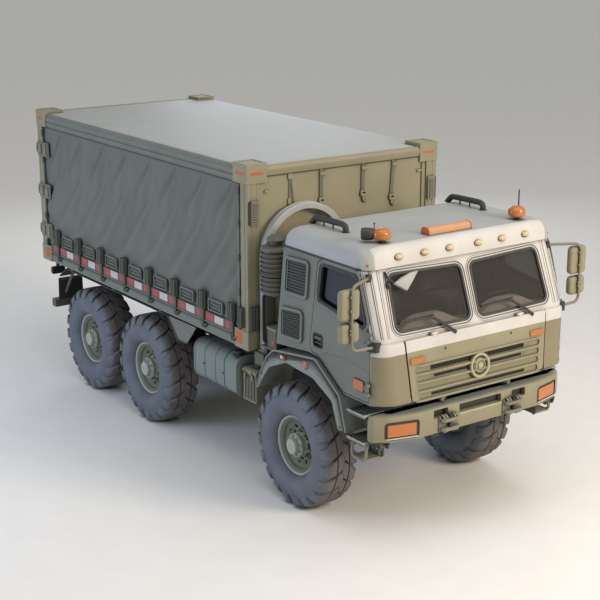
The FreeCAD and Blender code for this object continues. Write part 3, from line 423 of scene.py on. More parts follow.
def newMaterial(name, colour, surface, shade=None, cornerShade=None, patch=0.0, shadeReach=0.0):
    # with a shade, the colour drifts over patches of a stated size and is darker in corners: painted shade, from
    # ambient occlusion
    material = bpy.data.materials.new(name)
    material.use_nodes = True
    material.diffuse_color = linear(colour)
    tree = material.node_tree
    tree.nodes.clear()
    shader = addNode(tree, "BsdfPrincipled", {"Base Color": linear(colour), **surface})
    addNode(tree, "OutputMaterial", links={"Surface": shader.outputs[0]})
    place = {"Vector": addNode(tree, "TexCoord").outputs["Object"]}
    if not shade:
        return material, tree, shader, place
    patches = addNode(tree, "TexNoise", {"Scale": 1 / patch, "Detail": 5.0, "Roughness": 0.6},
        place).outputs["Fac"]
    tint = addNode(tree, "ValToRGB", links={"Fac": patches})
    first, last = tint.color_ramp.elements
    first.position, last.position = 0.35, 0.68
    first.color, last.color = linear(shade), linear(colour)
    # painted shade: ambient occlusion darkens corners, creases and gaps towards the cornerShade colour
    corners = addNode(tree, "AmbientOcclusion", {"samples": 4, "Distance": shadeReach})
    exposed = addNode(tree, "MapRange", {"From Min": 0.35, "From Max": 0.85}, {"Value": corners.outputs["AO"]})
    mix = addNode(tree, "Mix", {"data_type": "RGBA", 6: linear(cornerShade)},
        {0: exposed.outputs[0], 7: tint.outputs["Color"]})
    tree.links.new(mix.outputs[2], shader.inputs["Base Color"])
    return material, tree, shader, place, patches


def sprayedPaint(name, colour, shade, cornerShade, rough):
    # matt two-pack paint, sprayed: even colour that drifts a little, a soft sheen, faint orange peel
    surface = {"Roughness": rough, "IOR": 1.5, "Specular IOR Level": 0.4}
    material, tree, shader, place, patches = newMaterial(name, colour, surface, shade, cornerShade, 0.35, 0.05)
    # orange peel is 1 to 2 mm across; drawn at 6 mm so that it shows
    peel = addNode(tree, "TexNoise", {"Scale": 1 / 0.006, "Detail": 2.0}, place).outputs["Fac"]
    addNode(tree, "Bump", {"Strength": 0.12, "Distance": 0.0006}, {"Height": peel}, shader.inputs["Normal"])
    addNode(tree, "MapRange", {"To Min": rough - 0.07, "To Max": rough + 0.1}, {"Value": patches},
        shader.inputs["Roughness"])
    return material


def mouldedRubber(name, colour, shade, cornerShade, rough):
    # carbon-black rubber from a mould: dark, nearly matt, greyed by dust, and darker in its grooves by painted
    # shade
    surface = {"Roughness": rough, "IOR": 1.52, "Specular IOR Level": 0.35}
    material, tree, shader, place, _ = newMaterial(name, colour, surface, shade, cornerShade, 0.18, 0.04)
    # mould skin and scuffs, real grain under 1 mm; drawn at 4 mm
    grain = addNode(tree, "TexNoise", {"Scale": 1 / 0.004, "Detail": 3.0}, place).outputs["Fac"]
    addNode(tree, "Bump", {"Strength": 0.2, "Distance": 0.0008}, {"Height": grain}, shader.inputs["Normal"])
    return material


def wornMetal(name, colour, shade, cornerShade, rough):
    # bare or plated steel: the scratches that handling leaves show as uneven roughness
    surface = {"Metallic": 1.0, "Roughness": rough}
    material, tree, shader, _, patches = newMaterial(name, colour, surface, shade, cornerShade, 0.05, 0.02)
    addNode(tree, "MapRange", {"To Min": rough - 0.12, "To Max": rough + 0.15}, {"Value": patches},
        shader.inputs["Roughness"])
    return material


def grainedPlastic(name, colour, shade, cornerShade, rough):
    # injection-moulded ABS with a leather-like grain that breaks up its shine
    material, tree, shader, place, _ = newMaterial(name, colour, {"Roughness": rough, "IOR": 1.53}, shade, cornerShade,
        0.12, 0.03)
    # grain cells are about 1 mm; drawn at 3 mm
    cells = addNode(tree, "TexVoronoi", {"Scale": 1 / 0.003}, place).outputs["Distance"]
    addNode(tree, "Bump", {"Strength": 0.25, "Distance": 0.0005}, {"Height": cells}, shader.inputs["Normal"])
    return material


def floatGlass(name, colour, shadeFilm, rough=0.05):
    # float glass, polished by the tin bath: sharp reflections on a dark film that shows the cab dimly; the film is
    # painted shade for the cab behind the glass
    material, tree, shader, place = newMaterial(name, colour, {"Roughness": rough, "IOR": 1.52, "Alpha": shadeFilm})
    smears = addNode(tree, "TexNoise", {"Scale": 1 / 0.3, "Detail": 4.0}, place).outputs["Fac"]
    spread = {"From Min": 0.4, "From Max": 0.8, "To Min": rough, "To Max": rough + 0.08}
    addNode(tree, "MapRange", spread, {"Value": smears}, shader.inputs["Roughness"])
    return material


def ribbedLens(name, colour, shade, glow=0.0):
    # moulded polycarbonate lens: clear colour, glossy skin, prisms 5 mm apart on its back, drawn at 8 mm
    light = {"Subsurface Weight": 0.15, "Subsurface Radius": (0.01, 0.004, 0.002),
        "Emission Color": linear(colour), "Emission Strength": glow}
    material, tree, shader, place = newMaterial(name, colour, {"Roughness": 0.22, "IOR": 1.58, **light})
    prisms = addNode(tree, "TexWave", {"bands_direction": "Z", "Scale": 0.314 / 0.008}, place).outputs["Fac"]
    tone = addNode(tree, "Mix", {"data_type": "RGBA", 6: linear(shade), 7: linear(colour)}, {0: prisms})
    tree.links.new(tone.outputs[2], shader.inputs["Base Color"])
    addNode(tree, "Bump", {"Strength": 0.3, "Distance": 0.001}, {"Height": prisms}, shader.inputs["Normal"])
    return material


def wovenCloth(name, colour, shade, cornerShade, rough, sheen, thread, warp):
    # a plain weave: warp and weft ridges crossing, with a soft sheen at grazing angles
    surface = {"Roughness": rough, "IOR": 1.5, "Specular IOR Level": 0.3, "Sheen Weight": sheen,
        "Sheen Roughness": 0.5}
    material, tree, shader, place, _ = newMaterial(name, colour, surface, shade, cornerShade, 0.5, 0.06)
    ridges = [addNode(tree, "TexWave", {"bands_direction": way, "Scale": 0.314 / thread}, place)
        for way in (warp, "Z")]
    weave = addNode(tree, "Math", {"operation": "MAXIMUM"}, {k: ridge.outputs["Fac"] for k,
        ridge in enumerate(ridges)})
    addNode(tree, "Bump", {"Strength": 0.25, "Distance": 0.001}, {"Height": weave.outputs[0]},
        shader.inputs["Normal"])
    return material


# colour, its darker tone in random patches, painted shade in corners, roughness
khakiPaint = sprayedPaint("mattPaintKhaki", "#908b72", "#88846d", "#4d4a3b", 0.55)
greenPaint = sprayedPaint("mattPaintGreen", "#747870", "#6c7068", "#3c3f38", 0.55)
whitePaint = sprayedPaint("mattPaintWhite", "#c9c8c6", "#c0bfbc", "#73716c", 0.5)
roofPaint = sprayedPaint("mattPaintRoof", "#a9acaa", "#a1a4a1", "#62645f", 0.52)
framePaint = sprayedPaint("mattPaintFrame", "#5d6053", "#55584c", "#2c2d27", 0.62)
# darker than the rim's own paint: painted shade inside the dish
shadedDishPaint = sprayedPaint("mattPaintShadedDish", "#646b58", "#5c6350", "#34382b", 0.52)
skirtPaint = sprayedPaint("mattPaintSkirt", "#75746f", "#6c6b66", "#3a3936", 0.52)
# the khaki made darker for the corner panels: painted shade, as they turn away from the key lamp
shadedCornerPaint = sprayedPaint("mattPaintShadedCorner", "#867f67", "#7e7861", "#484536", 0.55)
tankPaint = sprayedPaint("mattPaintTank", "#79837f", "#717b77", "#414845", 0.34)
darkPaint = sprayedPaint("mattPaintDark", "#3c3f3b", "#343733", "#1b1c1a", 0.6)
stepsPaint = sprayedPaint("mattPaintSteps", "#5a5e55", "#52564d", "#292b27", 0.58)
discPaint = sprayedPaint("mattPaintDisc", "#a9a68c", "#9f9c83", "#3f3c2e", 0.42)
fenderPaint = sprayedPaint("mattPaintFender", "#858b86", "#7c827d", "#464a44", 0.52)
cleanerPaint = sprayedPaint("mattPaintCleaner", "#66655a", "#5d5c51", "#2c2b25", 0.45)
hubCast = sprayedPaint("castPaintHub", "#a5aca0", "#989f93", "#4c5146", 0.55)
khakiCast = sprayedPaint("castPaintKhaki", "#858270", "#79776a", "#44433a", 0.66)
tyreRubber = mouldedRubber("mouldedTyreRubber", "#676c76", "#5c616a", "#37353a", 0.62)
# browner and lighter than the side walls: partly dust, partly painted warm light on the running faces
treadRubber = mouldedRubber("dustAndLitTreadRubber", "#706a66", "#5f5b58", "#242223", 0.78)
sealRubber = mouldedRubber("extrudedSealRubber", "#3b3a38", "#323130", "#161616", 0.55)
platedSteel = wornMetal("zincPlatedSteel", "#a3a39c", "#86867f", "#3d3c38", 0.42)
darkSteel = wornMetal("blackenedSteel", "#55554f", "#444440", "#1c1c1a", 0.5)
blackPlastic = grainedPlastic("grainedBlackPlastic", "#2e302f", "#272928", "#121212", 0.5)
dashPlastic = grainedPlastic("grainedDashPlastic", "#d2cabb", "#c6beb0", "#6a655b", 0.65)
cabPlastic = grainedPlastic("grainedCabPlastic", "#a09b90", "#948f85", "#4c4943", 0.6)
# glass: colour, strength of its dark film (painted shade); lenses: colour, colour between the prisms, glow
screenGlass = floatGlass("shadedWindscreenGlass", "#4a4743", 0.34)
doorGlass = floatGlass("shadedDoorGlass", "#0f1622", 0.7)
mirrorGlass = wornMetal("silveredMirrorGlass", "#b9bdbe", "#b0b4b6", "#6b6d6e", 0.16)
orangeLens = ribbedLens("orangePolycarbonateLens", "#c1793c", "#a9632a")
redLens = ribbedLens("redPolycarbonateLens", "#b5302a", "#8a1f1c", 0.05)
barLens = ribbedLens("frostedOrangeLens", "#cda07c", "#c08f68")
creamLens = ribbedLens("creamPolycarbonateLens", "#d9c39a", "#c2a678", 0.05)
redTape = sprayedPaint("redReflectiveTape", "#a95050", "#9c4545", "#532727", 0.35)
whiteTape = sprayedPaint("whiteReflectiveTape", "#c4bfb9", "#b5b0aa", "#6c6863", 0.35)
orangePaint = sprayedPaint("orangeStencilPaint", "#c4632f", "#b35525", "#6a3218", 0.5)
# cloth adds sheen, thread pitch (real 1 mm, drawn at 5 or 6 mm) and the way of the warp
tarpaulin = wovenCloth("wovenTarpaulin", "#676b64", "#5f635c", "#33352f", 0.62, 0.15, 0.006, "Y")
seatCloth = wovenCloth("wovenSeatCloth", "#4c4f49", "#444741", "#23251f", 0.85, 0.3, 0.006, "X")
webbing = wovenCloth("wovenStrapWebbing", "#6d6f61", "#626456", "#35362d", 0.8, 0.2, 0.005, "X")
print("stage: materials made")

hands = (("left", lambda shape: shape), ("right", mirrored))

# wheels

wheel = {
    "lugs": 20,            # on each half of the tread
    "treadDepth": 0.03,
    "sweep": 0.125,        # how far a lug leads at the middle of the tread
    "grooveMiddle": 0.02,
    "grooveShoulder": 0.074,
    "split": 0.072,        # the cut between shoulder lug and middle block
    "nuts": 10,
    "capBolts": 8,
    "handHoles": 10,
}
low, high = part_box("tyre_front_left")
tyreRadius, tyreHalf = (high.z - low.z) / 2, (high.x - low.x) / 2
low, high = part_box("rim_front_left")
rimRadius = (high.z - low.z) / 2
rimOut = high.x - (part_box("tyre_front_left")[0].x + tyreHalf)      # hub cap ahead of the tyre's middle


def arcThrough(a, b, c, steps):
    # points of the circle through three points
    (ax, ay), (bx, by), (cx, cy) = a, b, c
    d = 2 * (ax * (by - cy) + bx * (cy - ay) + cx * (ay - by))
    ux = ((ax * ax + ay * ay) * (by - cy) + (bx * bx + by * by) * (cy - ay) + (cx * cx + cy * cy) * (ay - by)) / d
    uy = ((ax * ax + ay * ay) * (cx - bx) + (bx * bx + by * by) * (ax - cx) + (cx * cx + cy * cy) * (bx - ax)) / d
    start, end = math.atan2(ay - uy, ax - ux), math.atan2(cy - uy, cx - ux)
    radius = math.hypot(ax - ux, ay - uy)
    return [(ux + radius * math.cos(start + (end - start) * k / steps), uy
        + radius * math.sin(start + (end - start) * k / steps)) for k in range(steps + 1)]


def carcass():
    # side walls with a rim rib and a shoulder step, and the floor of the tread
    floor = tyreRadius - wheel["treadDepth"]
    seat = rimRadius - 0.048
    wall = arcThrough((0.13, rimRadius + 0.002), (tyreHalf, (rimRadius + tyreRadius) / 2 - 0.03),
        (tyreHalf - 0.01, tyreRadius - 0.15), 12)
    wall.insert(2, (wall[1][0] + 0.006, wall[1][1] + 0.004))
    half = [(0.0, floor), (0.1, floor - 0.001), (0.145, floor - 0.01), (0.165, floor - 0.024),
        (0.178, floor - 0.044), (0.19, floor - 0.074)]
    half += list(reversed(wall)) + [(0.114, rimRadius), (0.112, seat)]
    return lathe(half + [(-a, r) for a, r in reversed(half[1:])], 120)


def lugGrid(rows, columns, spot):
    # a block with a rounded top edge. spot(i, j, level) gives its points on three levels
    points = [spot(i, j, 0) for i in range(rows) for j in range(columns)]
    faces = [(i * columns + j, i * columns + j + 1, (i + 1) * columns + j + 1, (i + 1) * columns + j)
        for i in range(rows - 1) for j in range(columns - 1)]
    rim = [(0, j) for j in range(columns)] + [(i, columns - 1) for i in range(1, rows)]
    rim += [(rows - 1, j) for j in range(columns - 2, -1, -1)] + [(i, 0) for i in range(rows - 2, 0, -1)]
    rings = [[i * columns + j for i, j in rim]]
    for level in (1, 2):
        rings.append([len(points) + k for k in range(len(rim))])
        points += [spot(i, j, level) for i, j in rim]
    for upper, lower in zip(rings, rings[1:]):
        for k in range(len(rim)):
            n = (k + 1) % len(rim)
            faces.append((upper[k], lower[k], lower[n], upper[n]))
    faces.append(tuple(rings[-1]))
    return points, faces


def treadHalf():
    # one half of the tread: shoulder lugs that run down the side wall, and blocks along the middle
    depth, split = wheel["treadDepth"], wheel["split"]
    pitch = 2 * math.pi / wheel["lugs"]
    # top line and foot line of a shoulder lug: distance from the middle, depth below the tyre's radius
    lugTop = [(split + 0.004, 0.001), (0.11, 0.003), (0.143, 0.008), (0.168, 0.018), (0.186, 0.034),
        (0.197, 0.054), (0.2035, 0.076), (0.2065, 0.096), (0.203, 0.112)]
    lugFoot = [(split + 0.002, 0.033), (0.108, 0.036), (0.136, 0.041), (0.156, 0.05), (0.17, 0.066),
        (0.18, 0.084), (0.187, 0.098), (0.192, 0.11), (0.196, 0.122)]

    def lead(a):
        return wheel["sweep"] * max(0.0, 1 - a / 0.205) ** 1.5

    def groove(a, drop):
        share = min(1.0, max(0.0, (a - split) / 0.11))
        return wheel["grooveMiddle"] + (wheel["grooveShoulder"] - wheel["grooveMiddle"]) * share + drop * 0.25

    def lugSpot(turn, columns):
        def spot(i, j, level):
            top, foot = lugTop[i], lugFoot[i]
            across = 2 * j / (columns - 1) - 1
            a, drop = top if level < 2 else foot
            end = 1 if i == len(lugTop) - 1 else (-1 if i == 0 else 0)
            width = pitch - groove(top[0], top[1]) / tyreRadius
            width += (-0.012, 0.0, 0.01)[level] / tyreRadius
            a += end * (-0.004, 0.0, 0.0)[level] * (1 if end < 0 else 0)
            drop += (0.0, 0.005, 0.0)[level] * (0.4 if i > 5 else 1)
            a -= (0.0, 0.003, 0.0)[level] * (1 if 4 < i < 9 else 0)
            angle = turn + lead(a) / tyreRadius + across * width / 2
            radius = tyreRadius - drop
            return Vector((a, radius * math.sin(angle), radius * math.cos(angle)))
        return spot

    def blockSpot(turn, rows, columns):
        def spot(i, j, level):
            across = 2 * j / (columns - 1) - 1
            inner = -0.03 * (1 - abs(across)) + 0.012
            shrink = (0.005, 0.0, -0.005)[level]
            a = inner + shrink + (split - 0.006 - shrink * 2 - inner) * i / (rows - 1)
            width = pitch - (wheel["grooveMiddle"] + (0.012, 0.0, -0.01)[level]) / tyreRadius
            angle = turn + lead(max(a, 0.0)) / tyreRadius + across * width / 2
            radius = tyreRadius - (0.0, 0.005, depth + 0.003)[level]
            return Vector((a, radius * math.sin(angle), radius * math.cos(angle)))
        return spot

    shapes = []
    for k in range(wheel["lugs"]):
        turn = pitch * k
        shapes.append(lugGrid(len(lugTop), 5, lugSpot(turn, 5)))
        shapes.append(lugGrid(3, 5, blockSpot(turn, 3, 5)))
    return joined(shapes)


def tyreShape():
    outer = treadHalf()
    shift = Matrix.Rotation(math.pi / wheel["lugs"], 4, "X")
    return carcass(), joined([outer, placed(mirrored(outer), shift)])


def boltCircle(count, x, radius, shift=0.0):
    # points evenly round the axle
    spread = [2 * math.pi * (k + shift) / count for k in range(count)]
    return [Vector((x, radius * math.cos(t), radius * math.sin(t))) for t in spread]


def rimShapes():
    # pressed rim with a rolled edge, a disc with hand holes, and the hub with its nuts
    inner, outwards = rimRadius - 0.068, (1, 0, 0)
    barrel = lathe([(-0.13, inner), (-0.13, rimRadius), (-0.115, rimRadius), (-0.108, inner + 0.022),
        (0.098, inner + 0.022), (0.113, rimRadius - 0.012), (0.118, rimRadius - 0.001),
        (0.126, rimRadius + 0.003), (0.134, rimRadius), (0.137, rimRadius - 0.008), (0.132, rimRadius - 0.016),
        (0.122, rimRadius - 0.022), (0.112, inner + 0.02), (0.095, inner + 0.006), (0.08, inner)], 96)
    disc = lathe([(0.03, 0.1), (0.052, 0.1), (0.052, 0.175), (0.057, 0.19), (0.082, inner - 0.006),
        (0.086, inner + 0.008), (0.062, inner + 0.008), (0.058, inner - 0.01), (0.036, 0.19), (0.03, 0.175)], 96)
    disc = carved(disc, [rod(c, c + Vector((0.15, 0, 0)), 0.019, 16)
        for c in boltCircle(wheel["handHoles"], 0, 0.19)])
    hub = lathe([(0.0, 0), (0.0, 0.112), (0.05, 0.128), (0.068, 0.13), (0.074, 0.124), (0.11, 0.112),
        (0.116, 0.124), (0.132, 0.124), (0.138, 0.117), (0.143, 0.092), (0.15, 0.086), (0.17, 0.084),
        (rimOut - 0.004, 0.08), (rimOut, 0.074), (rimOut, 0.03), (rimOut - 0.003, 0.026), (rimOut - 0.003, 0)])
    nuts = []
    for c in boltCircle(wheel["nuts"], 0.05, 0.155, 0.5):
        nuts += [hexHead(c, outwards, 0.0185, 0.03), rod(c, c + Vector((0.046, 0, 0)), 0.01, 12)]
    nuts += [rod(c, c + Vector((0.034, 0, 0)), 0.0085, 10, 0.003)
        for c in boltCircle(wheel["nuts"] * 2, 0.11, 0.117)]
    nuts += [hexHead(c, outwards, 0.0125, 0.014) for c in boltCircle(wheel["capBolts"], 0.14, 0.101)]
    valve = rod((0.06, 0.0, 0.205), (0.115, 0.0, 0.212), 0.005, 10)
    return barrel, disc, hub, joined(nuts + [valve])


def makeWheels():
    walls, lugs = tyreShape()
    # the running faces take a browner, lighter rubber than the bluish flanks: partly dust, partly painted warm
    # light
    flanks, lugs = parted(lugs, lambda p, n: abs(n.x) > 0.62)
    barrel, disc, hub, nuts = rimShapes()
    # the rolled edge takes the pale roof paint, a painted highlight; barrel and disc take the darker dish paint,
    # painted shade
    edge, barrel = parted(barrel, lambda p, n: p.x > 0.11 and math.hypot(p.y, p.z) > rimRadius - 0.02)
    for axle in ("front", "middle", "rear"):
        for hand, flip in hands:
            low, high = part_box(f"tyre_{axle}_{hand}")
            # each tyre stands turned its own way, so that the lugs don't line up
            turn = Matrix.Translation((low + high) / 2) @ Matrix.Rotation(random.uniform(0, math.pi), 4, "X")
            here = lambda *shapes: [placed(flip(s), turn) for s in shapes]
            for name, node, slot, sharp, parts in (("tyreTread", "tyre", "tyre_rubber", 38,
                    [(tyreRubber, here(walls, flanks)), (treadRubber, here(lugs))]),
                    ("wheelRim", "rim", "rim_paint", 32, [(shadedDishPaint, here(barrel, disc)),
                    (roofPaint, here(edge)), (hubCast, here(hub, nuts))])):
                makePiece(f"{name}_{axle}_{hand}", f"wheel_{axle}_{hand}", parts, sharp=sharp,
                    replaces=[f"{node}_{axle}_{hand}"], slot=slot)


makeWheels()
print("stage: wheels made")

# cab

cab = {
    "wall": 0.06,
    "gap": 0.006,               # round the doors
    "whiteFrom": 1.925,         # the white band starts at this height
    "doorCorners": [0.03, 0.05, 0.09, 0.07, 0.06, 0.08, 0.1],
    "door": [(-1.948, 0.022), (-1.948, 0.645), (-1.728, 1.228), (-1.146, 1.228), (-1.006, 0.294),
             (-1.148, 0.282), (-1.548, 0.022)],
    "window": [(-1.905, 0.712), (-1.742, 1.192), (-1.205, 1.192), (-1.15, 0.83)],
    "arch": [(-1.56, 0.0), (-1.16, 0.26), (-1.0, 0.272), (-0.3, 0.2)],
    "louvres": 11,
    "vents": [[(-1.0, 2.6), (-0.64, 2.585), (-0.61, 2.24), (-0.965, 2.25)],
              [(-0.895, 2.085), (-0.55, 2.055), (-0.545, 1.775), (-0.88, 1.79)]],
    # roof: height above the seam, in from the side, in from the front
    "roof": [(0.0, 0.0, 0.0), (0.045, 0.0, 0.003), (0.098, 0.01, 0.01), (0.138, 0.032, 0.02), (0.168, 0.068, 0.034),
             (0.186, 0.115, 0.055), (0.194, 0.17, 0.085), (0.195, 0.23, 0.12)],
}
cabHalf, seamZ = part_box("cab_roof")[1].x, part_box("cab_roof")[0].z
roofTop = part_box("cab_roof")[1].z
cabBottom = seamZ - 1.25
# plan of the cab at three heights
cabRows = [
    # height, front, rear, then the corner: where its bend starts in from the side, its middle point in and
    # back, its end back
    (0.0, -2.11, -0.392, 0.24, 0.09, 0.05, 0.15),
    (0.63, -2.052, -0.475, 0.16, 0.05, 0.022, 0.078),
    (1.25, -1.825, -0.557, 0.18, 0.07, 0.022, 0.08),
]


def frontY(z):
    # the cab's front face at a height
    rise = z - cabBottom
    for lower, upper in zip(cabRows, cabRows[1:]):
        if rise <= upper[0]:
            break
    return lower[1] + (upper[1] - lower[1]) * (rise - lower[0]) / (upper[0] - lower[0])


def cabRing(row, inset):
    rise, front, rear, bendIn, midIn, midBack, endBack = row
    side = cabHalf - inset
    front, rear = front + inset, rear - inset
    line = arcThrough((side - bendIn + inset * 0.5, front), (side - midIn + inset * 0.2, front
        + midBack - inset * 0.1), (side, front + endBack - inset * 0.2), 8)
    line += rounded([(side, front), (side, rear), (0.0, rear)], 0.03, 4, closed=False)[1:-1]
    return [at(x, y, cabBottom + rise) for x, y in mirroredLine(line)]


def onCab(outline):
    # (y, rise above the cab's floor)
    return [(boxFront + y, cabBottom + rise) for y, rise in outline]


def screenPlace():
    # the sloping front between belt and seam, and how steep it is
    low, high = cabRows[1], cabRows[2]
    up = Vector((0, high[1] - low[1], high[0] - low[0])).normalized()
    return sloping(at(0, low[1], cabBottom + low[0]), up), up.z


def pane(grow=0.0):
    # the outline of one windscreen pane on that plane
    slope = screenPlace()[1]
    corners = [(0.055, 0.668), (0.06, 1.16), (cabHalf - 0.268, 1.186), (cabHalf - 0.24, 0.68)]
    line = rounded([(x, (rise - cabRows[1][0]) / slope) for x, rise in corners], 0.07, 7)
    return offset(line, grow) if grow else line


def doorHinges(x):
    return [at(x, cab["door"][0][0] - 0.003, cabBottom + rise) for rise in (0.16, 0.57)]


def makeCabShell():
    wall, split = cab["wall"], cab["whiteFrom"]
    outer = loft([cabRing(row, 0.0) for row in cabRows])
    under, reach = onCab(cab["arch"]), (-cabHalf - 0.3, cabHalf + 0.3)
    (rear, last), deep = under[-1], cabBottom - 0.2
    hollow = loft([cabRing((row[0] + rise, *row[1:]), wall) for row, rise in zip(cabRows, (-0.1, 0.0, 0.05))])
    floor = [(boxFront - 3.0, cabBottom + wall)] + [(y, z + wall) for y, z in under]
    floor += [(rear + 0.6, last + wall - 0.06), (rear + 0.6, deep), (boxFront - 3.0, deep)]
    hollow = carved(hollow, [prism(floor, "x", *reach)])
    belowArch = prism(under + [(rear + 0.6, last - 0.05), (rear + 0.6, deep), (under[0][0], deep)], "x", *reach)
    doorway = prism(offset(rounded(onCab(cab["door"]), cab["doorCorners"], 6), cab["gap"]), "x",
        cabHalf - wall - 0.02, cabHalf + 0.05)
    screen = placed(prism(pane(), "y", -0.2, 0.3), screenPlace()[0])
    shell = carved(carved(carved(outer, [belowArch]), [hollow]), both(doorway) + both(screen))
    frontEdge = boxFront + cab["door"][0][0] - 0.004
    shell = scored(shell, [(Vector((0, 0, split)), (0, 0, 1)), (Vector((0, frontEdge, 0)), (0, 1, 0))])
    # the front's paint ends in a line that leans back with the windscreen pillar
    ahead, green = parted(shell, lambda p, n: p.y < frontEdge + max(0.0, p.z - cabBottom - 0.645) * 0.377 + 0.004)
    white, khaki = parted(ahead, lambda p, n: p.z > split)
    lugs, pivot = [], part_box("cab_shell")[0].z
    for side in (-1, 1):
        for x, y, z in doorHinges(side * (cabHalf + 0.025)):
            lugs.append(upright(x, y, z - 0.063, z + 0.063, 0.009, 14))
            for s in (z - 0.045, z + 0.045):
                lugs += [upright(x, y, s - 0.015, s + 0.015, 0.017, 20, 0.002),
                    block((x - 0.022, y - 0.03, s - 0.013), (x + 0.01, y - 0.004, s + 0.013))]
        lugs.append(brick(side * 0.425 - 0.02, -2.095, pivot, side * 0.425 + 0.02, -2.03, cabBottom + 0.005))
    makePiece("cabShell", "cab", [(greenPaint, [green]), (whitePaint, [white]), (khakiPaint, [khaki])],
        bevel=0.006, replaces=["cab_shell"], slot="body_paint")
    makePiece("cabHingeLugs", "cab", [(greenPaint, lugs)], bevel=0.003, slot="body_paint")
    gutter, inner = [[(x, y) for x, y, z in cabRing(cabRows[2], inset)] for inset in (-0.006, 0.02)]
    makePiece("roofSeamRubber", "cab", [(sealRubber, [band(gutter, inner, "z", seamZ - 0.01, seamZ + 0.012)])],
        bevel=0.003, slot="black_plastic")


def vent(outline, louvres):
    # a raised frame with slanting slats over a dark back, which is painted shade inside the vent
    face, line = -cabHalf, rounded(outline, 0.035, 5)
    frames = [band(offset(line, 0.02), offset(line, -0.01), "x", face - 0.024, face + 0.005),
        band(offset(line, -0.01), offset(line, -0.02), "x", face - 0.013, face + 0.005)]
    back = prism(offset(line, -0.008), "x", face - 0.0015, face + 0.004)
    # the slats rise towards the front as the frame's upper edge does
    (ya, za), (yb, zb), (yd, zd), (yc, zc) = outline
    slats = []
    for k in range(louvres):
        share = (k + 0.7) / (louvres + 0.4)
        ends = ((yc + (ya - yc) * share + 0.018, zc + (za - zc) * share),
            (yd + (yb - yd) * share - 0.03, zd + (zb - zd) * share))
        slats.append(loft([[(face - out, y, z + up) for out, up in ((0.022, -0.004), (0.019, -0.007),
            (0.003, 0.0), (0.006, 0.003))] for y, z in ends]))
    frames.append(loft([[(face - out, yd - ahead + (yb - yd) * t, zd + 0.02 + (zb - zd - 0.04) * t) for out,
        ahead in ((0.012, 0.03), (0.012, 0.012), (0, 0.012), (0, 0.03))] for t in (0, 1)]))
    return frames, [back], slats


def makeSidePanels():
    frames, shadeBacks, slats = [], [], []
    for outline in cab["vents"]:
        for group, shapes in zip((frames, shadeBacks, slats), vent(fromFront(outline), cab["louvres"])):
            group += pairs(shapes)
    makePiece("cabSideVents", "cab", [(greenPaint, frames), (blackPlastic, shadeBacks), (greenPaint, slats)],
        bevel=0.003, slot="body_paint")


def makeDoors():
    face, inside = cabHalf, cabHalf - cab["wall"]
    door, window = rounded(onCab(cab["door"]), cab["doorCorners"], 6), rounded(onCab(cab["window"]), 0.055, 6)
    pull = roundRect(boxFront - 1.215, 1.8, boxFront - 1.075, 1.925, 0.025)
    leaf = carved(prism(door, "x", inside, face), [prism(window, "x", face - 0.2, face + 0.1)])
    leaf = carved(leaf, [prism(pull, "x", face - 0.035, face + 0.05)])
    rib = pipe([(face - 0.003, -1.94, 1.755), (face - 0.003, -1.6, 1.8), (face - 0.003, -1.24, 1.77)], 0.3, 8,
        0.007, 8)
    frameRib = band(offset(window, 0.052), offset(window, 0.026), "x", face - 0.004, face + 0.007)
    ledge = tube([at(face + 0.003, y, z) for y, z in ((-1.965, 2.118), (-1.9, 2.128), (-1.17, 2.243),
        (-1.12, 2.262))], 0.013, 10)
    seals = [band(offset(window, 0.012), offset(window, -0.014), "x", x0, x1) for x0,
        x1 in ((face - 0.014, face + 0.006), (inside - 0.004, face - 0.045))]
    cup = [band(offset(pull, 0.01), offset(pull, -0.004), "x", face - 0.034, face + 0.004),
        prism(offset(pull, -0.002), "x", face - 0.034, face - 0.03)]
    lever = [brick(face - 0.014, -1.2, 1.873, face + 0.002, -1.092, 1.905),
        brick(face - 0.016, -1.195, 1.832, face - 0.002, -1.097, 1.842)]
    arms, bolts = [], []
    for x, y, z in doorHinges(face + 0.025):
        arm = [(face - 0.002, y + 0.006), (x + 0.006, y + 0.006), (x + 0.006, y + 0.02),
            (face + 0.009, y + 0.076), (face - 0.002, y + 0.076)]
        arms += [upright(x, y, z - 0.029, z + 0.029, 0.017, 20, 0.002),
            slab("z", z - 0.024, z + 0.024, arm, 0.006, 3)]
        bolts.append(hexHead((face + 0.008, y + 0.052, z), (1, 0, 0), 0.007, 0.007))
    # inside: a lining with an arm rest
    lining = carved(prism(offset(door, -0.05), "x", inside - 0.012, inside + 0.001),
        [prism(offset(window, 0.03), "x", face - 0.2, face + 0.1)])
    rest = slab("y", boxFront - 1.62, boxFront - 1.22, [(inside - 0.012, 1.86), (inside - 0.07, 1.86),
        (inside - 0.07, 1.91), (inside - 0.012, 1.93)], 0.015)
    lens = roundRect(boxFront - 1.868, 1.55, boxFront - 1.722, 1.648, 0.012)
    reflector, surround = prism(lens, "x", face - 0.002, face + 0.012), band(offset(lens, 0.007), lens, "x",
        face - 0.002, face + 0.008)
    for hand, flip in hands:
        turned = lambda *shapes: [flip(s) for s in shapes]
        makePiece(f"doorLeaf_{hand}", f"cab_door_{hand}", [(greenPaint, turned(leaf, rib, frameRib, ledge))],
            bevel=0.005, replaces=[f"door_{hand}"], slot="body_paint")
        makePiece(f"doorFittings_{hand}", f"cab_door_{hand}", [(sealRubber, turned(*seals)),
            (blackPlastic, turned(*cup, surround)), (stepsPaint, turned(*lever)), (greenPaint, turned(*arms)),
            (darkSteel, turned(*bolts)), (cabPlastic, turned(lining, rest)), (orangeLens, turned(reflector))],
            bevel=0.003, slot="black_plastic")


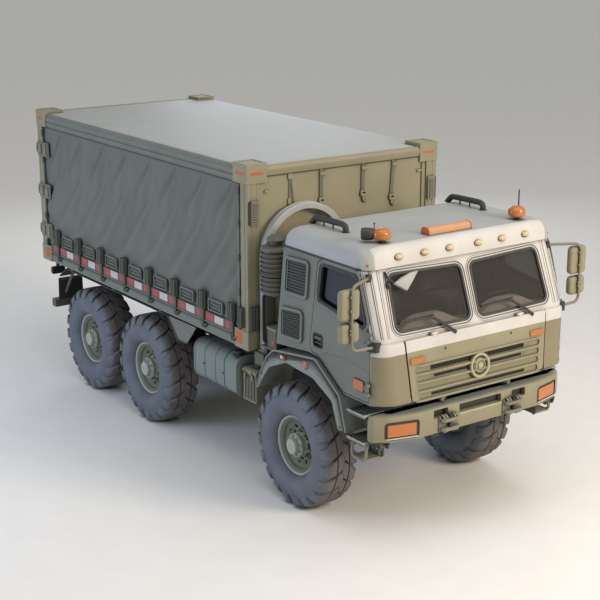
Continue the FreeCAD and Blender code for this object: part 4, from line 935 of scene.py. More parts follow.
def roofShape(inset):
    rings = []
    for rise, sideIn, frontIn in cab["roof"]:
        half, nose, tail = cabHalf - sideIn - inset, -1.855 + frontIn + inset, -0.559 - frontIn * 1.3 - inset
        line = rounded([(0, nose), (half, nose), (half, tail), (0, tail)], [0, 0.155, 0.06, 0], 8,
            closed=False)[1:-1]
        z = seamZ + rise * (roofTop - inset - seamZ) / (roofTop - seamZ) - (0.02 if inset and not rise else 0)
        rings.append([at(x, y, z) for x, y in mirroredLine(line)])
    return loft(rings)


def ovalLamp(centre, direction, wide, tall, deep):
    # a domed marker lamp and its rubber foot
    place = aim(centre, direction)
    dome = [[(deep * along, a, b) for a, b in ellipse(wide * share, tall * share)] for along,
        share in ((0.0, 1.0), (0.35, 0.98), (0.7, 0.82), (0.92, 0.5), (1.0, 0.15))]
    foot = [[(x, a, b) for a, b in ellipse(wide * 1.12, tall * 1.15)] for x in (-0.004, 0.005)]
    return placed(loft(dome), place), placed(loft(foot), place)


def makeRoof():
    shell = carved(roofShape(0.0), [roofShape(cab["wall"] * 0.75)])
    brow, browHalf = at(0, -1.762, 0), cabHalf - 0.125
    shell = scored(shell, [(brow, (0, 1, 0)), (Vector((browHalf, 0, 0)), (1, 0, 0)),
        (Vector((-browHalf, 0, 0)), (1, 0, 0))])
    white, grey = parted(shell, lambda p, n: p.y < brow.y and abs(p.x) < browHalf)
    makePiece("cabRoofShell", "cab", [(whitePaint, [white]), (roofPaint, [grey])], sharp=30,
        replaces=["cab_roof"], slot="light_paint")
    lamps = [ovalLamp(at(x, -1.848, 2.776), (0, -1, 0.35), 0.045, 0.027, 0.038)
        for x in (-0.8, -0.49, -0.18, 0.18, 0.49, 0.8)]
    corners = [ovalLamp(at(s * 1.13, -1.812, 2.735), (s * 0.6, -0.75, 0.1), 0.02, 0.018, 0.018) for s in (-1, 1)]
    makePiece("browLamps", "cab", [(creamLens, [dome for dome, foot in lamps]),
        (orangeLens, [dome for dome, foot in corners]), (sealRubber, [foot for dome, foot in lamps + corners])],
        sharp=50, slot="orange_lens")
    bar = rounded([(-1.72, -0.004), (-1.6, -0.004), (-1.607, 0.052), (-1.635, 0.07), (-1.685, 0.07),
        (-1.714, 0.052)], 0.02, 5)
    bar = [(boxFront + y, roofTop + z) for y, z in bar]
    ends = [prism(offset(bar, 0.003), "x", x, x + 0.016) for x in (-0.33, 0.198)]
    makePiece("roofLightBar", "cab", [(barLens, [prism(bar, "x", -0.318, 0.202)]), (orangePaint, ends)],
        bevel=0.004, replaces=["roof_lamps"], slot="orange_lens")
    for side, hand in ((-1, "right"), (1, "left")):
        spot = at(side * (cabHalf - 0.345), -1.665, roofTop - 0.004)
        rise = lambda up, ahead=0.0, out=0.0: spot + Vector((out, ahead, up))
        dark = [turnedAt(spot, (0, 0, 1), [(0, 0), (0, 0.044), (0.006, 0.044), (0.01, 0.032), (0.026, 0.032),
            (0.03, 0.05), (0.036, 0.05), (0.036, 0)])]
        dome = turnedAt(rise(0.034), (0, 0, 1), [(0, 0), (0, 0.066), (0.008, 0.08), (0.022, 0.087),
            (0.056, 0.088), (0.076, 0.083), (0.092, 0.069), (0.102, 0.046), (0.107, 0.02), (0.108, 0)])
        if hand == "right":
            # horn beside the beacon, with its pin
            axis = Vector((-0.78, 0.62, 0.02))
            mouth = rise(0.08) + axis * 0.07
            dark.append(turnedAt(mouth, axis, [(0, 0), (0, 0.046), (0.02, 0.056), (0.08, 0.06), (0.112, 0.056),
                (0.122, 0.042), (0.125, 0)], 28))
            dark += [upright(mouth.x, mouth.y, mouth.z + a, mouth.z + b, r, n) for a, b, r,
                n in ((0.03, 0.098, 0.0045, 10), (0.094, 0.106, 0.01, 12))]
        else:
            dark.append(rod(rise(0, 0.06, 0.082), rise(0.285, 0.06, 0.082), 0.007, 10, 0.002))
        makePiece("roofBeacon_" + hand, "cab", [(blackPlastic, dark), (orangeLens, [dome])], sharp=40,
            slot="orange_lens")
    bars = []
    for x in (-(cabHalf - 0.32), cabHalf - 0.32):
        line = [(-1.15, 0.002), (-1.15, 0.06), (-1.09, 0.072), (-0.76, 0.066), (-0.67, 0.06), (-0.61, 0.002)]
        bars.append(pipe([(x, y, roofTop + z) for y, z in line], 0.05, 6, 0.03, 16))
        bars += [turnedAt(at(x, y, roofTop - 0.002), (0, 0, 1),
            [(0, 0), (0, 0.036), (0.008, 0.036), (0.013, 0.024), (0.013, 0)]) for y in (-1.15, -0.61)]
        bars += [upright(x, boxFront + y, roofTop, roofTop + 0.055, 0.008, 10) for y in (-0.95, -0.8)]
    makePiece("roofGrabHandles", "cab", [(darkPaint, bars)], sharp=40, replaces=["grab_handles"],
        slot="chassis_paint")


def makeWindscreenTrim():
    place, slope = screenPlace()
    glassEdge = pane()
    shapes = {"rubber": [], "white": []}
    for grow, thin, proud, kind in ((-0.012, 0.012, 0.01, "rubber"), (0.016, 0.026, 0.007, "white"),
            (0.03, 0.034, 0.004, "rubber"), (0.04, 0.05, 0.008, "white")):
        # the middle pillar is too narrow for the outer ribs, so they stop at it
        outer = [(max(x, 0.006), z) for x, z in offset(glassEdge, thin)]
        inner = [(max(x, 0.002 if kind == "rubber" else 0.004), z) for x, z in offset(glassEdge, grow)]
        shapes[kind] += both(placed(band(outer, inner, "y", -proud, 0.01), place))
    # ribs pressed into the corner pillars
    foot, head = cabRing(cabRows[1], -0.001), cabRing(cabRows[2], -0.001)
    for k, radius, kind in ((0, 0.005, "white"), (1, 0.0025, "rubber"), (3, 0.006, "white"), (4, 0.003, "rubber"),
            (6, 0.005, "white"), (7, 0.003, "rubber")):
        shapes[kind] += both(tube([foot[k].lerp(head[k], 0.02), foot[k].lerp(head[k], 0.985)], radius, 8))
    refinished(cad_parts["windscreen"], screenGlass)
    makePiece("windscreenTrim", "cab", [(sealRubber, shapes["rubber"]), (whitePaint, shapes["white"])],
        bevel=0.0025, slot="black_plastic")
    arms, blades = [], []
    for x in (0.713, -0.29):
        onScreen = lambda dx, rise, out: place @ Vector((x + dx, -out, (rise - cabRows[1][0]) / slope))
        elbow, grip = onScreen(-0.24, 0.742, 0.042), onScreen(-0.44, 0.76, 0.034)
        arms.append(turnedAt(onScreen(0, 0.585, -0.015), Vector((0, -slope, 0.3)),
            [(0, 0), (0, 0.03), (0.018, 0.028), (0.04, 0.018), (0.046, 0.01), (0.046, 0)], 20))
        arms.append(tube([onScreen(0, 0.585, 0.006) + Vector((0, -0.022, 0)), onScreen(-0.09, 0.64, 0.048),
            elbow], 0.014, 10))
        arms.append(tube([elbow, onScreen(-0.33, 0.756, 0.042), grip], 0.01, 10))
        left, right = onScreen(-0.63, 0.752, 0.018), onScreen(-0.215, 0.768, 0.018)
        bow = [left.lerp(right, 0.12) + Vector((0, -0.012, 0.004)), grip + Vector((0, -0.004, 0)),
            left.lerp(right, 0.88) + Vector((0, -0.012, 0.004))]
        blades += [tube([left, right], 0.012, 8), tube(bow, 0.006, 8)]
    makePiece("wipers", "cab", [(blackPlastic, arms), (sealRubber, blades)], sharp=40, slot="black_plastic")


def makeFlap():
    bottom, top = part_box("front_flap")[0].z, cabBottom + 0.598
    thick, gap, reach, split = 0.028, 0.006, 0.8, cab["whiteFrom"]
    up = Vector((0, (frontY(top) - frontY(bottom)) / (top - bottom), 1)).normalized()
    place = sloping(at(0, frontY(bottom) - gap, bottom), up)
    tall = (top - bottom) / up.z
    outline = rounded([(-0.838, 0.002), (0.838, 0.002), (0.893, tall), (-0.893, tall)],
        [0.03, 0.03, 0.012, 0.012], 5)
    rows = [z - bottom for z in (1.738, 1.655, 1.57, 1.486)]
    grooves, slots, slats, ribs = [], [], [], []
    for k, (s, inner, high) in enumerate(zip(rows, (0.6, 0.56, 0, 0.6), (0.021, 0.014, 0, 0.014))):
        wide = reach - 0.012 * k
        grooves.append(plate("y", -thick - 0.02, -thick + 0.014, -wide, s - 0.028, wide, s + 0.028, 0.026, 6))
        if inner:
            slots.append(plate("y", -thick - 0.05, 0.02, -inner, s - high, inner, s + high, 0.012))
            slats += [block((x - 0.003, -thick + 0.014, s - 0.019), (x + 0.003, -0.006, s + 0.019))
                for x in (-0.585 + n * 0.026 for n in range(46))]
    panel = carved(carved(prism(outline, "y", -thick, 0.0), grooves), slots)
    panel = placed(scored(panel, [(Vector((0, 0, (split - bottom) / up.z)), (0, 0, 1))]), place)
    for s in [(a + b) / 2 for a, b in zip(rows, rows[1:])] + [rows[0] + 0.042, rows[-1] - 0.042]:
        section = rounded([(-thick + 0.002, s - 0.017), (-thick - 0.014, s - 0.009), (-thick - 0.014, s + 0.007),
            (-thick + 0.002, s + 0.015)], 0.006, 3)
        ribs.append(loft([[(x, -thick + 0.002 + (y + thick - 0.002) * size, s + (z - s) * (0.4 + 0.6 * size))
            for y, z in section] for x, size in ((-reach, 0.1), (-reach + 0.03, 0.6), (-reach + 0.1, 1.0),
            (reach - 0.1, 1.0), (reach - 0.03, 0.6), (reach, 0.1))]))
    meshBack = block((-0.66, -0.006, rows[-1] - 0.04), (0.66, -0.003, rows[0] + 0.04))
    middle, outward = place @ Vector((0, -thick, rows[1] - 0.005)), place.to_3x3() @ Vector((0, -1, 0))
    # the last ring is dark and sits behind the disc: painted shade in the gaps round it
    disc, boss, shadowRing = [turnedAt(middle, outward, profile, 48)
        for profile in ([(-0.014, 0.088), (0.01, 0.092), (0.02, 0.1), (0.022, 0.118), (0.014, 0.124),
        (-0.012, 0.126), (-0.014, 0.118)], [(-0.012, 0), (-0.012, 0.078), (0.004, 0.076), (0.01, 0.068),
        (0.018, 0.064), (0.022, 0.057), (0.008, 0.05), (0.008, 0.036), (0.02, 0.026), (0.024, 0.0)],
        [(-0.016, 0.07), (-0.002, 0.07), (-0.002, 0.14), (-0.016, 0.14)])]
    lamps, height = [], (1.836 - bottom) / up.z
    for x in (-0.762, 0.762):
        line = roundRect(x - 0.085, height - 0.024, x + 0.085, height + 0.024, 0.01)
        lamps.append(prism(line, "y", -thick - 0.012, -thick + 0.002))
        ribs.append(band(offset(line, 0.008), line, "y", -thick - 0.007, -thick + 0.002))
    bolts = [hexHead(place @ Vector((x, -thick - 0.0005, (1.89 - bottom) / up.z)), outward, 0.008, 0.006)
        for x in (-0.42, 0.42)]
    hinges, lugs = [], []
    y, z = boxFront - 2.086, cabBottom + 0.618
    for x in (-0.546, 0.546):
        leaf = [(y - 0.006, z - 0.03), (y + 0.012, z - 0.03), (y + 0.012, z), (y - 0.004, z + 0.008)]
        hinges += [rod((x - 0.026, y, z), (x + 0.026, y, z), 0.015, 18, 0.002),
            slab("x", x - 0.024, x + 0.024, leaf, 0.004, 3)]
        for s in (x - 0.034, x + 0.034):
            lugs += [rod((s - 0.006, y, z), (s + 0.006, y, z), 0.012, 16, 0.001),
                block((s - 0.006, y, z - 0.008), (s + 0.006, y + 0.05, z + 0.008))]
        lugs.append(rod((x - 0.042, y, z), (x + 0.042, y, z), 0.0075, 12))
    whiteFace, khakiFace = parted(panel, lambda p, n: p.z > split)
    onFlap = lambda shapes: [placed(s, place) for s in shapes]
    makePiece("frontFlapPanel", "grille_flap", [(khakiPaint, [khakiFace] + onFlap(ribs)),
        (discPaint, [disc, boss]), (whitePaint, [whiteFace] + hinges)], bevel=0.0035, replaces=["front_flap"],
        slot="body_paint")
    makePiece("flapGrille", "grille_flap", [(blackPlastic, onFlap([meshBack]) + [shadowRing]),
        (darkPaint, onFlap(slats)), (orangeLens, onFlap(lamps)), (darkSteel, bolts)], slot="black_plastic")
    makePiece("flapHingeLugs", "cab", [(whitePaint, lugs)], bevel=0.001, slot="light_paint")


def cabRow(rise):
    # the cab's plan at any height, between its stated ones
    for lower, upper in zip(cabRows, cabRows[1:]):
        if rise <= upper[0]:
            break
    share = (rise - lower[0]) / (upper[0] - lower[0])
    return [a + (b - a) * share for a, b in zip(lower, upper)]


def makeCornerPanels():
    rings, split = [], cab["whiteFrom"]
    for rise, inner, proud in ((0.01, 0.851, 0.026), (0.016, 0.852, 0.036), (0.052, 0.855, 0.037),
            (0.062, 0.856, 0.03), (0.3, 0.878, 0.03), (0.56, 0.904, 0.03), (0.59, 0.906, 0.022),
            (0.6, 0.907, 0.006)):
        _, ahead, _, bendIn, midIn, midBack, endBack = cabRow(rise)
        end = (cabHalf + 0.0005, min(ahead + endBack, -1.962))
        middle = (cabHalf - midIn + proud * 0.45, ahead + midBack - proud * 0.65)
        line = [(inner, ahead - proud)] + arcThrough((cabHalf - bendIn + 0.02, ahead - proud), middle, end, 10)
        line += [(cabHalf - 0.02, end[1]), (cabHalf - bendIn, ahead + 0.03), (inner, ahead + 0.03)]
        rings.append([at(x, y, cabBottom + rise) for x, y in line])
    white, khaki = parted(scored(loft(rings), [(Vector((0, 0, split)), (0, 0, 1))]), lambda p, n: p.z > split)
    # the corner panels take the darker copy of the khaki: painted shade
    makePiece("cabCornerPanels", "cab", [(shadedCornerPaint, both(khaki)), (whitePaint, both(white))], bevel=0.003,
        slot="body_paint")
    # mirror over the near kerb, hung from the roof's edge
    tip, low, left = at(-0.64, -1.935, 2.64), at(-0.8, -1.975, 2.48), at(-0.93, -1.94, 2.56)
    out = (tip - left).cross(low - left).normalized()
    out = out if out.y < 0 else -out
    edge = [tip, tip.lerp(low, 0.5) + out * 0.004, low, low.lerp(left, 0.4), left, left.lerp(tip, 0.3)
        + Vector((0, 0, 0.02)), left.lerp(tip, 0.7) + Vector((0, 0, 0.022))]
    middle = sum(edge, Vector()) / len(edge)
    rings = [[middle.lerp(p, share) + out * proud for p in edge] for share,
        proud in ((1.0, -0.014), (1.02, 0.0), (0.94, 0.016), (0.6, 0.026), (0.2, 0.03))]
    arm = tube([at(-0.96, -1.846, 2.655), at(-0.96, -1.9, 2.6), left + Vector((0.03, 0, -0.005))], 0.011, 10)
    clamp = turnedAt(at(-0.96, -1.892, 2.56), (0.2, -0.5, -1), [(0, 0), (0, 0.022), (0.03, 0.026), (0.05, 0.018),
        (0.05, 0)], 20)
    makePiece("kerbMirror", "cab", [(roofPaint, [loft(rings)]), (blackPlastic, [arm, clamp])], bevel=0.003,
        slot="light_paint")


def makeMirrors():
    # out and y: the middle of the heads. Each head is (from, to, half its width)
    out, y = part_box("mirrors")[1].x - 0.085, boxFront - 1.95
    top, bottom, ahead = cabBottom + 1.18, cabBottom + 0.58, y - 0.046
    line = [(cabHalf - 0.06, boxFront - 1.832, top), (out, ahead, top), (out, ahead, bottom),
        (cabHalf - 0.02, boxFront - 2.012, bottom)]
    arm = tube(rounded(line, 0.07, 7, closed=False), 0.0145, 14)
    foot = [(cabHalf + x, boxFront + b) for x, b in ((-0.06, -2.045), (0.004, -2.05), (0.022, -2.02),
        (0.01, -1.985), (-0.05, -1.975))]
    feet = [sidePlate(cabHalf - 0.085, cabHalf - 0.05, -1.85, top - 0.035, -1.785, top + 0.035, 0.012),
        slab("z", bottom - 0.045, bottom + 0.04, foot, 0.012)]
    cases, glasses, clamps = [], [], []
    for z0, z1, wide in ((cabBottom + 0.86, cabBottom + 1.15, 0.112),
            (cabBottom + 0.645, cabBottom + 0.84, 0.108)):
        inset = lambda by, radius: roundRect(out - wide + by, z0 + by, out + wide - by, z1 - by, radius, 6)
        cases.append(loft([onAxis("y", inset(by, 0.045 - by), y + depth) for depth,
            by in ((-0.03, 0.03), (-0.026, 0.014), (-0.012, 0.003), (0.012, 0.0), (0.03, 0.004), (0.034, 0.01))]))
        cases.append(tube([(out + 0.012, y - 0.03, z) for z in (z0 + 0.02, z1 - 0.02)], 0.004, 8))
        glasses.append(prism(inset(0.014, 0.032), "y", y + 0.03, y + 0.0352))
        clamps += [plate("y", ahead - 0.008, y - 0.026, out - 0.024, z - 0.012, out + 0.024, z + 0.012, 0.005, 3)
            for z in (z0 + 0.1, z1 - 0.06)]
    makePiece("mirrorArms", "cab", [(khakiCast, pairs([arm] + clamps)), (blackPlastic, pairs(feet))], sharp=40,
        replaces=["mirrors"], slot="chassis_paint")
    makePiece("mirrorHeads", "cab", [(khakiPaint, pairs(cases)), (mirrorGlass, pairs(glasses))], sharp=38,
        slot="body_paint")


makeCabShell()
makeSidePanels()
makeDoors()
makeRoof()
makeWindscreenTrim()
makeFlap()
makeCornerPanels()
makeMirrors()
for hand, _ in hands:
    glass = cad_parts["door_glass_" + hand]
    refinished(glass, doorGlass)
print("stage: cab made")

# front end

front = {
    "lamp": (0.78, 1.122, 1.085, 1.262),          # x, z of one corner and of the opposite one
    "slots": [(-0.59, -0.41), (-0.27, 0.27), (0.41, 0.59)],
    "hookHalf": 0.41,
    "hookReach": 0.108,
    "tyreGap": [(1, -0.068, 0.48), (1, -0.14, 0.67), (1, -0.243, 0.84), (1, -0.368, 0.95),
                (-1, -0.207, 1.044), (-1, 0.187, 0.784), (-1, 0.293, 0.45)],
    "sideFace": [(-1, 0.183, 0.45), (-1, 0.078, 0.71), (-1, -0.232, 0.855), (1, -0.588, 0.89),
                 (1, -0.288, 0.76), (1, -0.153, 0.59), (1, -0.083, 0.48)],
}
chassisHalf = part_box("front_bumper")[1].x
bumperLow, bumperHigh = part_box("front_bumper")[0].z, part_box("front_bumper")[1].z


def bumperRing(z, inset):
    end = chassisHalf - 0.04
    left = [(0.79, -2.16), (1.07, -2.088), (end, -1.996), (end, -1.93), (1.01, -1.93), (1.01, -1.995)]
    radii = [0.3, 0.22, 0.12, 0.02, 0.01, 0.01]
    line = rounded(mirroredLine(left), radii + radii[::-1], 5)
    return [at(x, y, z) for x, y in (offset(line, -inset) if inset else line)]


def bumperSolid(inset):
    low, high = bumperLow + inset, bumperHigh - inset
    rows = [(low, 0.016), (low + 0.006, 0.006), (low + 0.016, 0.0), (high - 0.048, 0.0), (high - 0.022, 0.005),
        (high - 0.008, 0.018), (high, 0.045)]
    return loft([bumperRing(z, d + inset) for z, d in rows])


def makeBumper():
    near, deep, top, foot = boxFront - 2.4, boxFront - 2.045, bumperHigh - 0.024, bumperHigh - 0.108
    x0, z0, x1, z1 = front["lamp"]
    lamp = roundRect(x0, z0, x1, z1, 0.018, 5)
    recess = both(prism(offset(lamp, 0.02), "y", near, deep))
    recess += [plate("y", near, boxFront - 2.1, a, foot, b, top, 0.012) for a, b in front["slots"]]
    # the bumper's upward faces take the pale blue-grey fender paint: painted light falling on the top
    ledge, rest = parted(carved(bumperSolid(0.0), recess), lambda p, n: n.z > 0.85 and p.z > bumperHigh - 0.012)
    slotBacks = [brick(a, -2.104, foot, b, -2.098, top) for a, b in front["slots"]]
    dashes = [brick(x, -2.163, bumperHigh - 0.122, x + 0.019, -2.15, bumperHigh - 0.114)
        for x in (-0.255 + k * 0.03 for k in range(18))]
    dashes.append(brick(-0.275, -2.161, bumperHigh - 0.126, 0.285, -2.155, bumperHigh - 0.123))
    shelf = [(y, bumperHigh - drop) for y, drop in ((-2.02, 0.03), (-1.9, 0.052), (-1.9, 0.06), (-2.02, 0.04))]
    makePiece("frontBumper", "chassis", [(khakiPaint, [rest, prism(fromFront(shelf), "x", -1.15, 1.15)]),
        (fenderPaint, [ledge]), (darkPaint, slotBacks), (whitePaint, dashes)], bevel=0.004,
        replaces=["front_bumper"], slot="body_paint")
    shared = lambda inset, outline, end: carved(bumperSolid(inset), [prism(outline, "y", near, end)], "INTERSECT")
    surround = carved(shared(0.01, offset(lamp, 0.02), deep - 0.002),
        [prism(offset(lamp, -0.01), "y", near, deep + 0.1)])
    lens, boss = shared(0.006, offset(lamp, -0.011), deep - 0.004), shared(0.001, offset(lamp, -0.034),
        deep - 0.006)
    trim = shared(-0.002, roundRect(x0 - 0.004, z0 - 0.012, x1 + 0.006, z0 - 0.001, 0.005, 3), deep)
    makePiece("bumperLamps", "chassis", [(blackPlastic, both(surround)), (orangeLens, pairs([lens, boss])),
        (whitePaint, both(trim))], bevel=0.003, replaces=["headlamps"], slot="orange_lens")


def makeHooks():
    shapes, pins, reach = [], [], front["hookReach"]
    for x in (-front["hookHalf"], front["hookHalf"]):
        jaw = [(x + a, boxFront + b) for a, b in ((-reach, -2.15), (-reach, -2.196), (0.03 - reach, -2.222),
            (reach - 0.03, -2.222), (reach, -2.196), (reach, -2.15))]
        shapes += [slab("z", z, z + 0.032, jaw, 0.014) for z in (1.2, 1.108)]
        shapes.append(brick(x - reach - 0.012, -2.172, 1.092, x + reach + 0.012, -2.15, 1.248))
        for dx in (-0.08, -0.048, 0.048, 0.08):
            for z0, z1 in ((1.23, 1.262), (1.078, 1.11)):
                rib = fromFront([(-2.15, z0), (-2.214, z0 if z0 > 1.2 else z1), (-2.206, (z0 + z1) / 2),
                    (-2.18, z1 if z0 > 1.2 else z0), (-2.15, z1)])
                shapes.append(slab("x", x + dx - 0.011, x + dx + 0.011, rib, 0.006, 3))
        pins.append(upright(x, boxFront - 2.192, 1.1, 1.258, 0.018, 20, 0.003))
        pins.append(turnedAt(at(x, -2.192, 1.232), (0, 0, 1), [(0, 0), (0, 0.03), (0.01, 0.03), (0.012, 0.02),
            (0.03, 0.02), (0.034, 0.012), (0.034, 0)], 20))
        loop = [at(x + 0.026 * math.cos(t), -2.196, 1.275 + 0.02 * math.sin(t))
            for t in (math.pi * k / 8 for k in range(-1, 10))]
        pins.append(tube(loop, 0.0045, 8))
        shapes += [hexHead(at(x + dx, -2.172, z), (0, -1, 0), 0.01, 0.01) for dx in (-0.112, 0.112)
            for z in (1.108, 1.232)]
    makePiece("towHooks", "chassis", [(khakiCast, shapes), (darkPaint, pins)], bevel=0.004, slot="cast_paint")
    ear = fromFront([(-2.06, bumperLow), (-1.95, bumperLow), (-1.97, bumperLow - 0.075),
        (-2.03, bumperLow - 0.085)])
    ends = [slab("x", x, x + 0.016, ear, 0.02) for x in (1.02, 1.11)]
    ends.append(rod(at(0.99, -2.004, bumperLow - 0.055), at(1.15, -2.004, bumperLow - 0.055), 0.011, 16))
    makePiece("bumperEndBrackets", "chassis", [(framePaint, pairs(ends))], bevel=0.003, slot="chassis_paint")


def makeSteps():
    y0, y1, inner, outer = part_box("cab_steps")[0].y, boxFront - 1.675, 1.0, chassisHalf
    dark, light, khaki = [], [], []
    for z in (1.34, 1.07):
        tray = carved(block((inner, y0, z - 0.04), (outer - 0.01, y1, z)),
            [block((inner + 0.012, y0 + 0.012, z - 0.012), (outer - 0.022, y1 - 0.012, z + 0.01))])
        dark.append(carved(tray, [plate("z", z - 0.1, z + 0.1, x, y0 + 0.03, x + 0.028, y1 - 0.03, 0.012, 3)
            for x in (inner + 0.03 + k * 0.052 for k in range(4))]))
        light.append(plate("y", y0 - 0.004, y1 + 0.004, outer - 0.012, z - 0.02, outer - 0.002, z + 0.003, 0.003,
            2))
        light.append(plate("x", inner, outer - 0.004, y0 - 0.006, z - 0.022, y0 + 0.004, z + 0.003, 0.003, 2))
        khaki.append(slab("y", y1 - 0.03, y1 - 0.022, [(inner - 0.004, z - 0.04), (outer - 0.06, z - 0.04),
            (inner - 0.004, z - 0.15)], 0.01, 3))
    dark.append(plate("x", inner - 0.012, inner, y0, 0.87, y1, 1.34, 0.03))
    loop = [(1.18, y0 + 0.02, 1.06), (1.2, y0 + 0.02, 0.868), (1.2, y1 - 0.02, 0.868), (1.18, y1 - 0.02, 1.06)]
    khaki += [tube(rounded(loop, 0.06, 6, closed=False), 0.016),
        block((1.01, y0 + 0.03, 0.862), (1.205, y1 - 0.03, 0.882))]
    khaki += [block((0.995, y - 0.01, 0.855), (1.02, y + 0.01, 0.935)) for y in (y0 + 0.045, y1 - 0.045)]
    makePiece("cabEntrySteps", "chassis", [(stepsPaint, pairs(dark)), (roofPaint, pairs(light)),
        (khakiCast, pairs(khaki))], bevel=0.003, replaces=["cab_steps"], slot="chassis_paint")


def aroundWheel(line, radii):
    # (end: 1 behind the axle or -1 ahead, beyond the tyre, above the axle)
    low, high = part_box("tyre_front_left")
    axle = (low.y + high.y) / 2
    return rounded([(axle + end * (tyreRadius + beyond), tyreRadius + rise) for end, beyond, rise in line], radii,
        7, closed=False)


def makeFenders():
    face = chassisHalf
    outer = aroundWheel(front["tyreGap"], [0, 0.1, 0.1, 0.09, 0.07, 0.08, 0])
    whole, count = outer + aroundWheel(front["sideFace"], [0, 0.07, 0.08, 0.12, 0.1, 0.1, 0]), len(outer)
    sheet, rim = outer + offset(whole, -0.012)[:count][::-1], offset(whole, 0.001)
    shapes = [prism(sheet, "x", 0.832, face), prism(whole, "x", face - 0.018, face)]
    shapes += [tube(onAxis("x", rim[:count], face - 0.008), 0.0115, 10),
        tube(onAxis("x", rim[count:], face - 0.006), 0.008, 8)]
    bolts = [hexHead((face, *offset(whole, -0.03)[k]), (1, 0, 0), 0.008, 0.006) for k in (4, 14, 24, 34, 42)]
    makePiece("frontFenders", "chassis", [(fenderPaint, pairs(shapes)),
        (greenPaint, both(brick(0.812, -0.772, 1.545, 0.834, -0.672, 1.64))), (darkSteel, pairs(bolts))],
        bevel=0.003, replaces=["front_fenders"], slot="body_paint")
    ring, dome = [turnedAt((face - 0.002, boxFront - 1.01, 1.59), (1, 0, 0), profile, 28)
        for profile in ([(0, 0.02), (0, 0.046), (0.01, 0.046), (0.014, 0.041), (0.012, 0.036), (0.004, 0.034)],
        [(0, 0), (0, 0.036), (0.01, 0.035), (0.018, 0.028), (0.023, 0.014), (0.024, 0)])]
    y, z = boxFront - 0.64, 1.568
    base = plate("x", face - 0.002, face + 0.01, y - 0.046, z - 0.022, y + 0.046, z + 0.022, 0.01)
    red, cream = [prism(offset(rectangle(a, z - 0.018, a + 0.042, z + 0.018), -0.001), "x", face, face + 0.016)
        for a in (y - 0.042, y)]
    makePiece("fenderLamps", "chassis", [(platedSteel, both(ring)), (orangeLens, both(dome)),
        (blackPlastic, both(base)), (redLens, both(red)), (creamLens, both(cream))], bevel=0.002,
        slot="orange_lens")


makeBumper()
makeHooks()
makeSteps()
makeFenders()
print("stage: front end made")

# tanks and boxes along the frame

side = {
    "tank": (-1.202, -0.64, 0.31, 1.19, 0.83, 1.3),       # x, y and z, from and to
    "battery": (-1.14, -0.67, 0.04, 0.29, 0.83, 1.2),
    "airTanks": (0.765, 0.33, 1.15, 0.1),
    "silencer": (1.04, 0.25, 1.15, 1.05, 0.15),
    "hoop": (-0.6, 2.44, 0.52, 0.06, -0.12, -0.03),
    "cleaner": (-1.1, -0.3, 0.165, 2.13),
}


def makeTank():
    x0, x1, y0, y1, z0, z1 = side["tank"]
    ring = lambda y, inset: [at(x, y, z) for x, z in roundRect(x0 + inset, z0 + inset, x1 - inset, z1 - inset,
        0.13 - inset * 0.6, 8)]
    ends = ((0, 0.06), (0.003, 0.03), (0.006, 0.022), (0.008, 0.004), (0.014, 0.0), (0.03, 0.0), (0.034, 0.008))
    tank = [loft([ring(y0 + dy, inset) for dy, inset in ends] + [ring(y1 - dy, inset) for dy,
        inset in ends[::-1]])]
    tank += [tube(ring(y, 0.007), 0.0045, 8, closed=True) for y in (0.74, 0.955, 0.985)]
    bolts = []
    for y in (y0 + 0.264, y0 + 0.66):
        strap = ((0.001, -0.016), (0.001, 0.016), (0.012, 0.016), (0.012, -0.016), (0.001, -0.016))
        tank.append(loft([ring(y + dy, inset) for inset, dy in strap], capped=False))
        bolts.append(hexHead(at(x0 + 0.003, y, 1.06), (-1, 0, 0), 0.009, 0.012))
    neck = turnedAt(at(x0 + 0.09, y0 + 0.09, z1 - 0.012), (0, 0, 1),
        [(0, 0), (0, 0.062), (0.014, 0.06), (0.018, 0.045), (0.032, 0.045), (0.032, 0.052), (0.052, 0.052),
        (0.057, 0.046), (0.057, 0)])
    bar = brick(x0 + 0.056, y0 + 0.084, z1 + 0.04, x0 + 0.124, y0 + 0.096, z1 + 0.052)
    bolts.append(hexHead(at((x0 + x1) / 2, (y0 + y1) / 2, z0 + 0.008), (0, 0, -1), 0.014, 0.014))
    makePiece("fuelTankShell", "chassis", [(tankPaint, tank), (darkPaint, [neck, bar]), (darkSteel, bolts)],
        bevel=0.002, replaces=["fuel_tank"], slot="tank_paint")


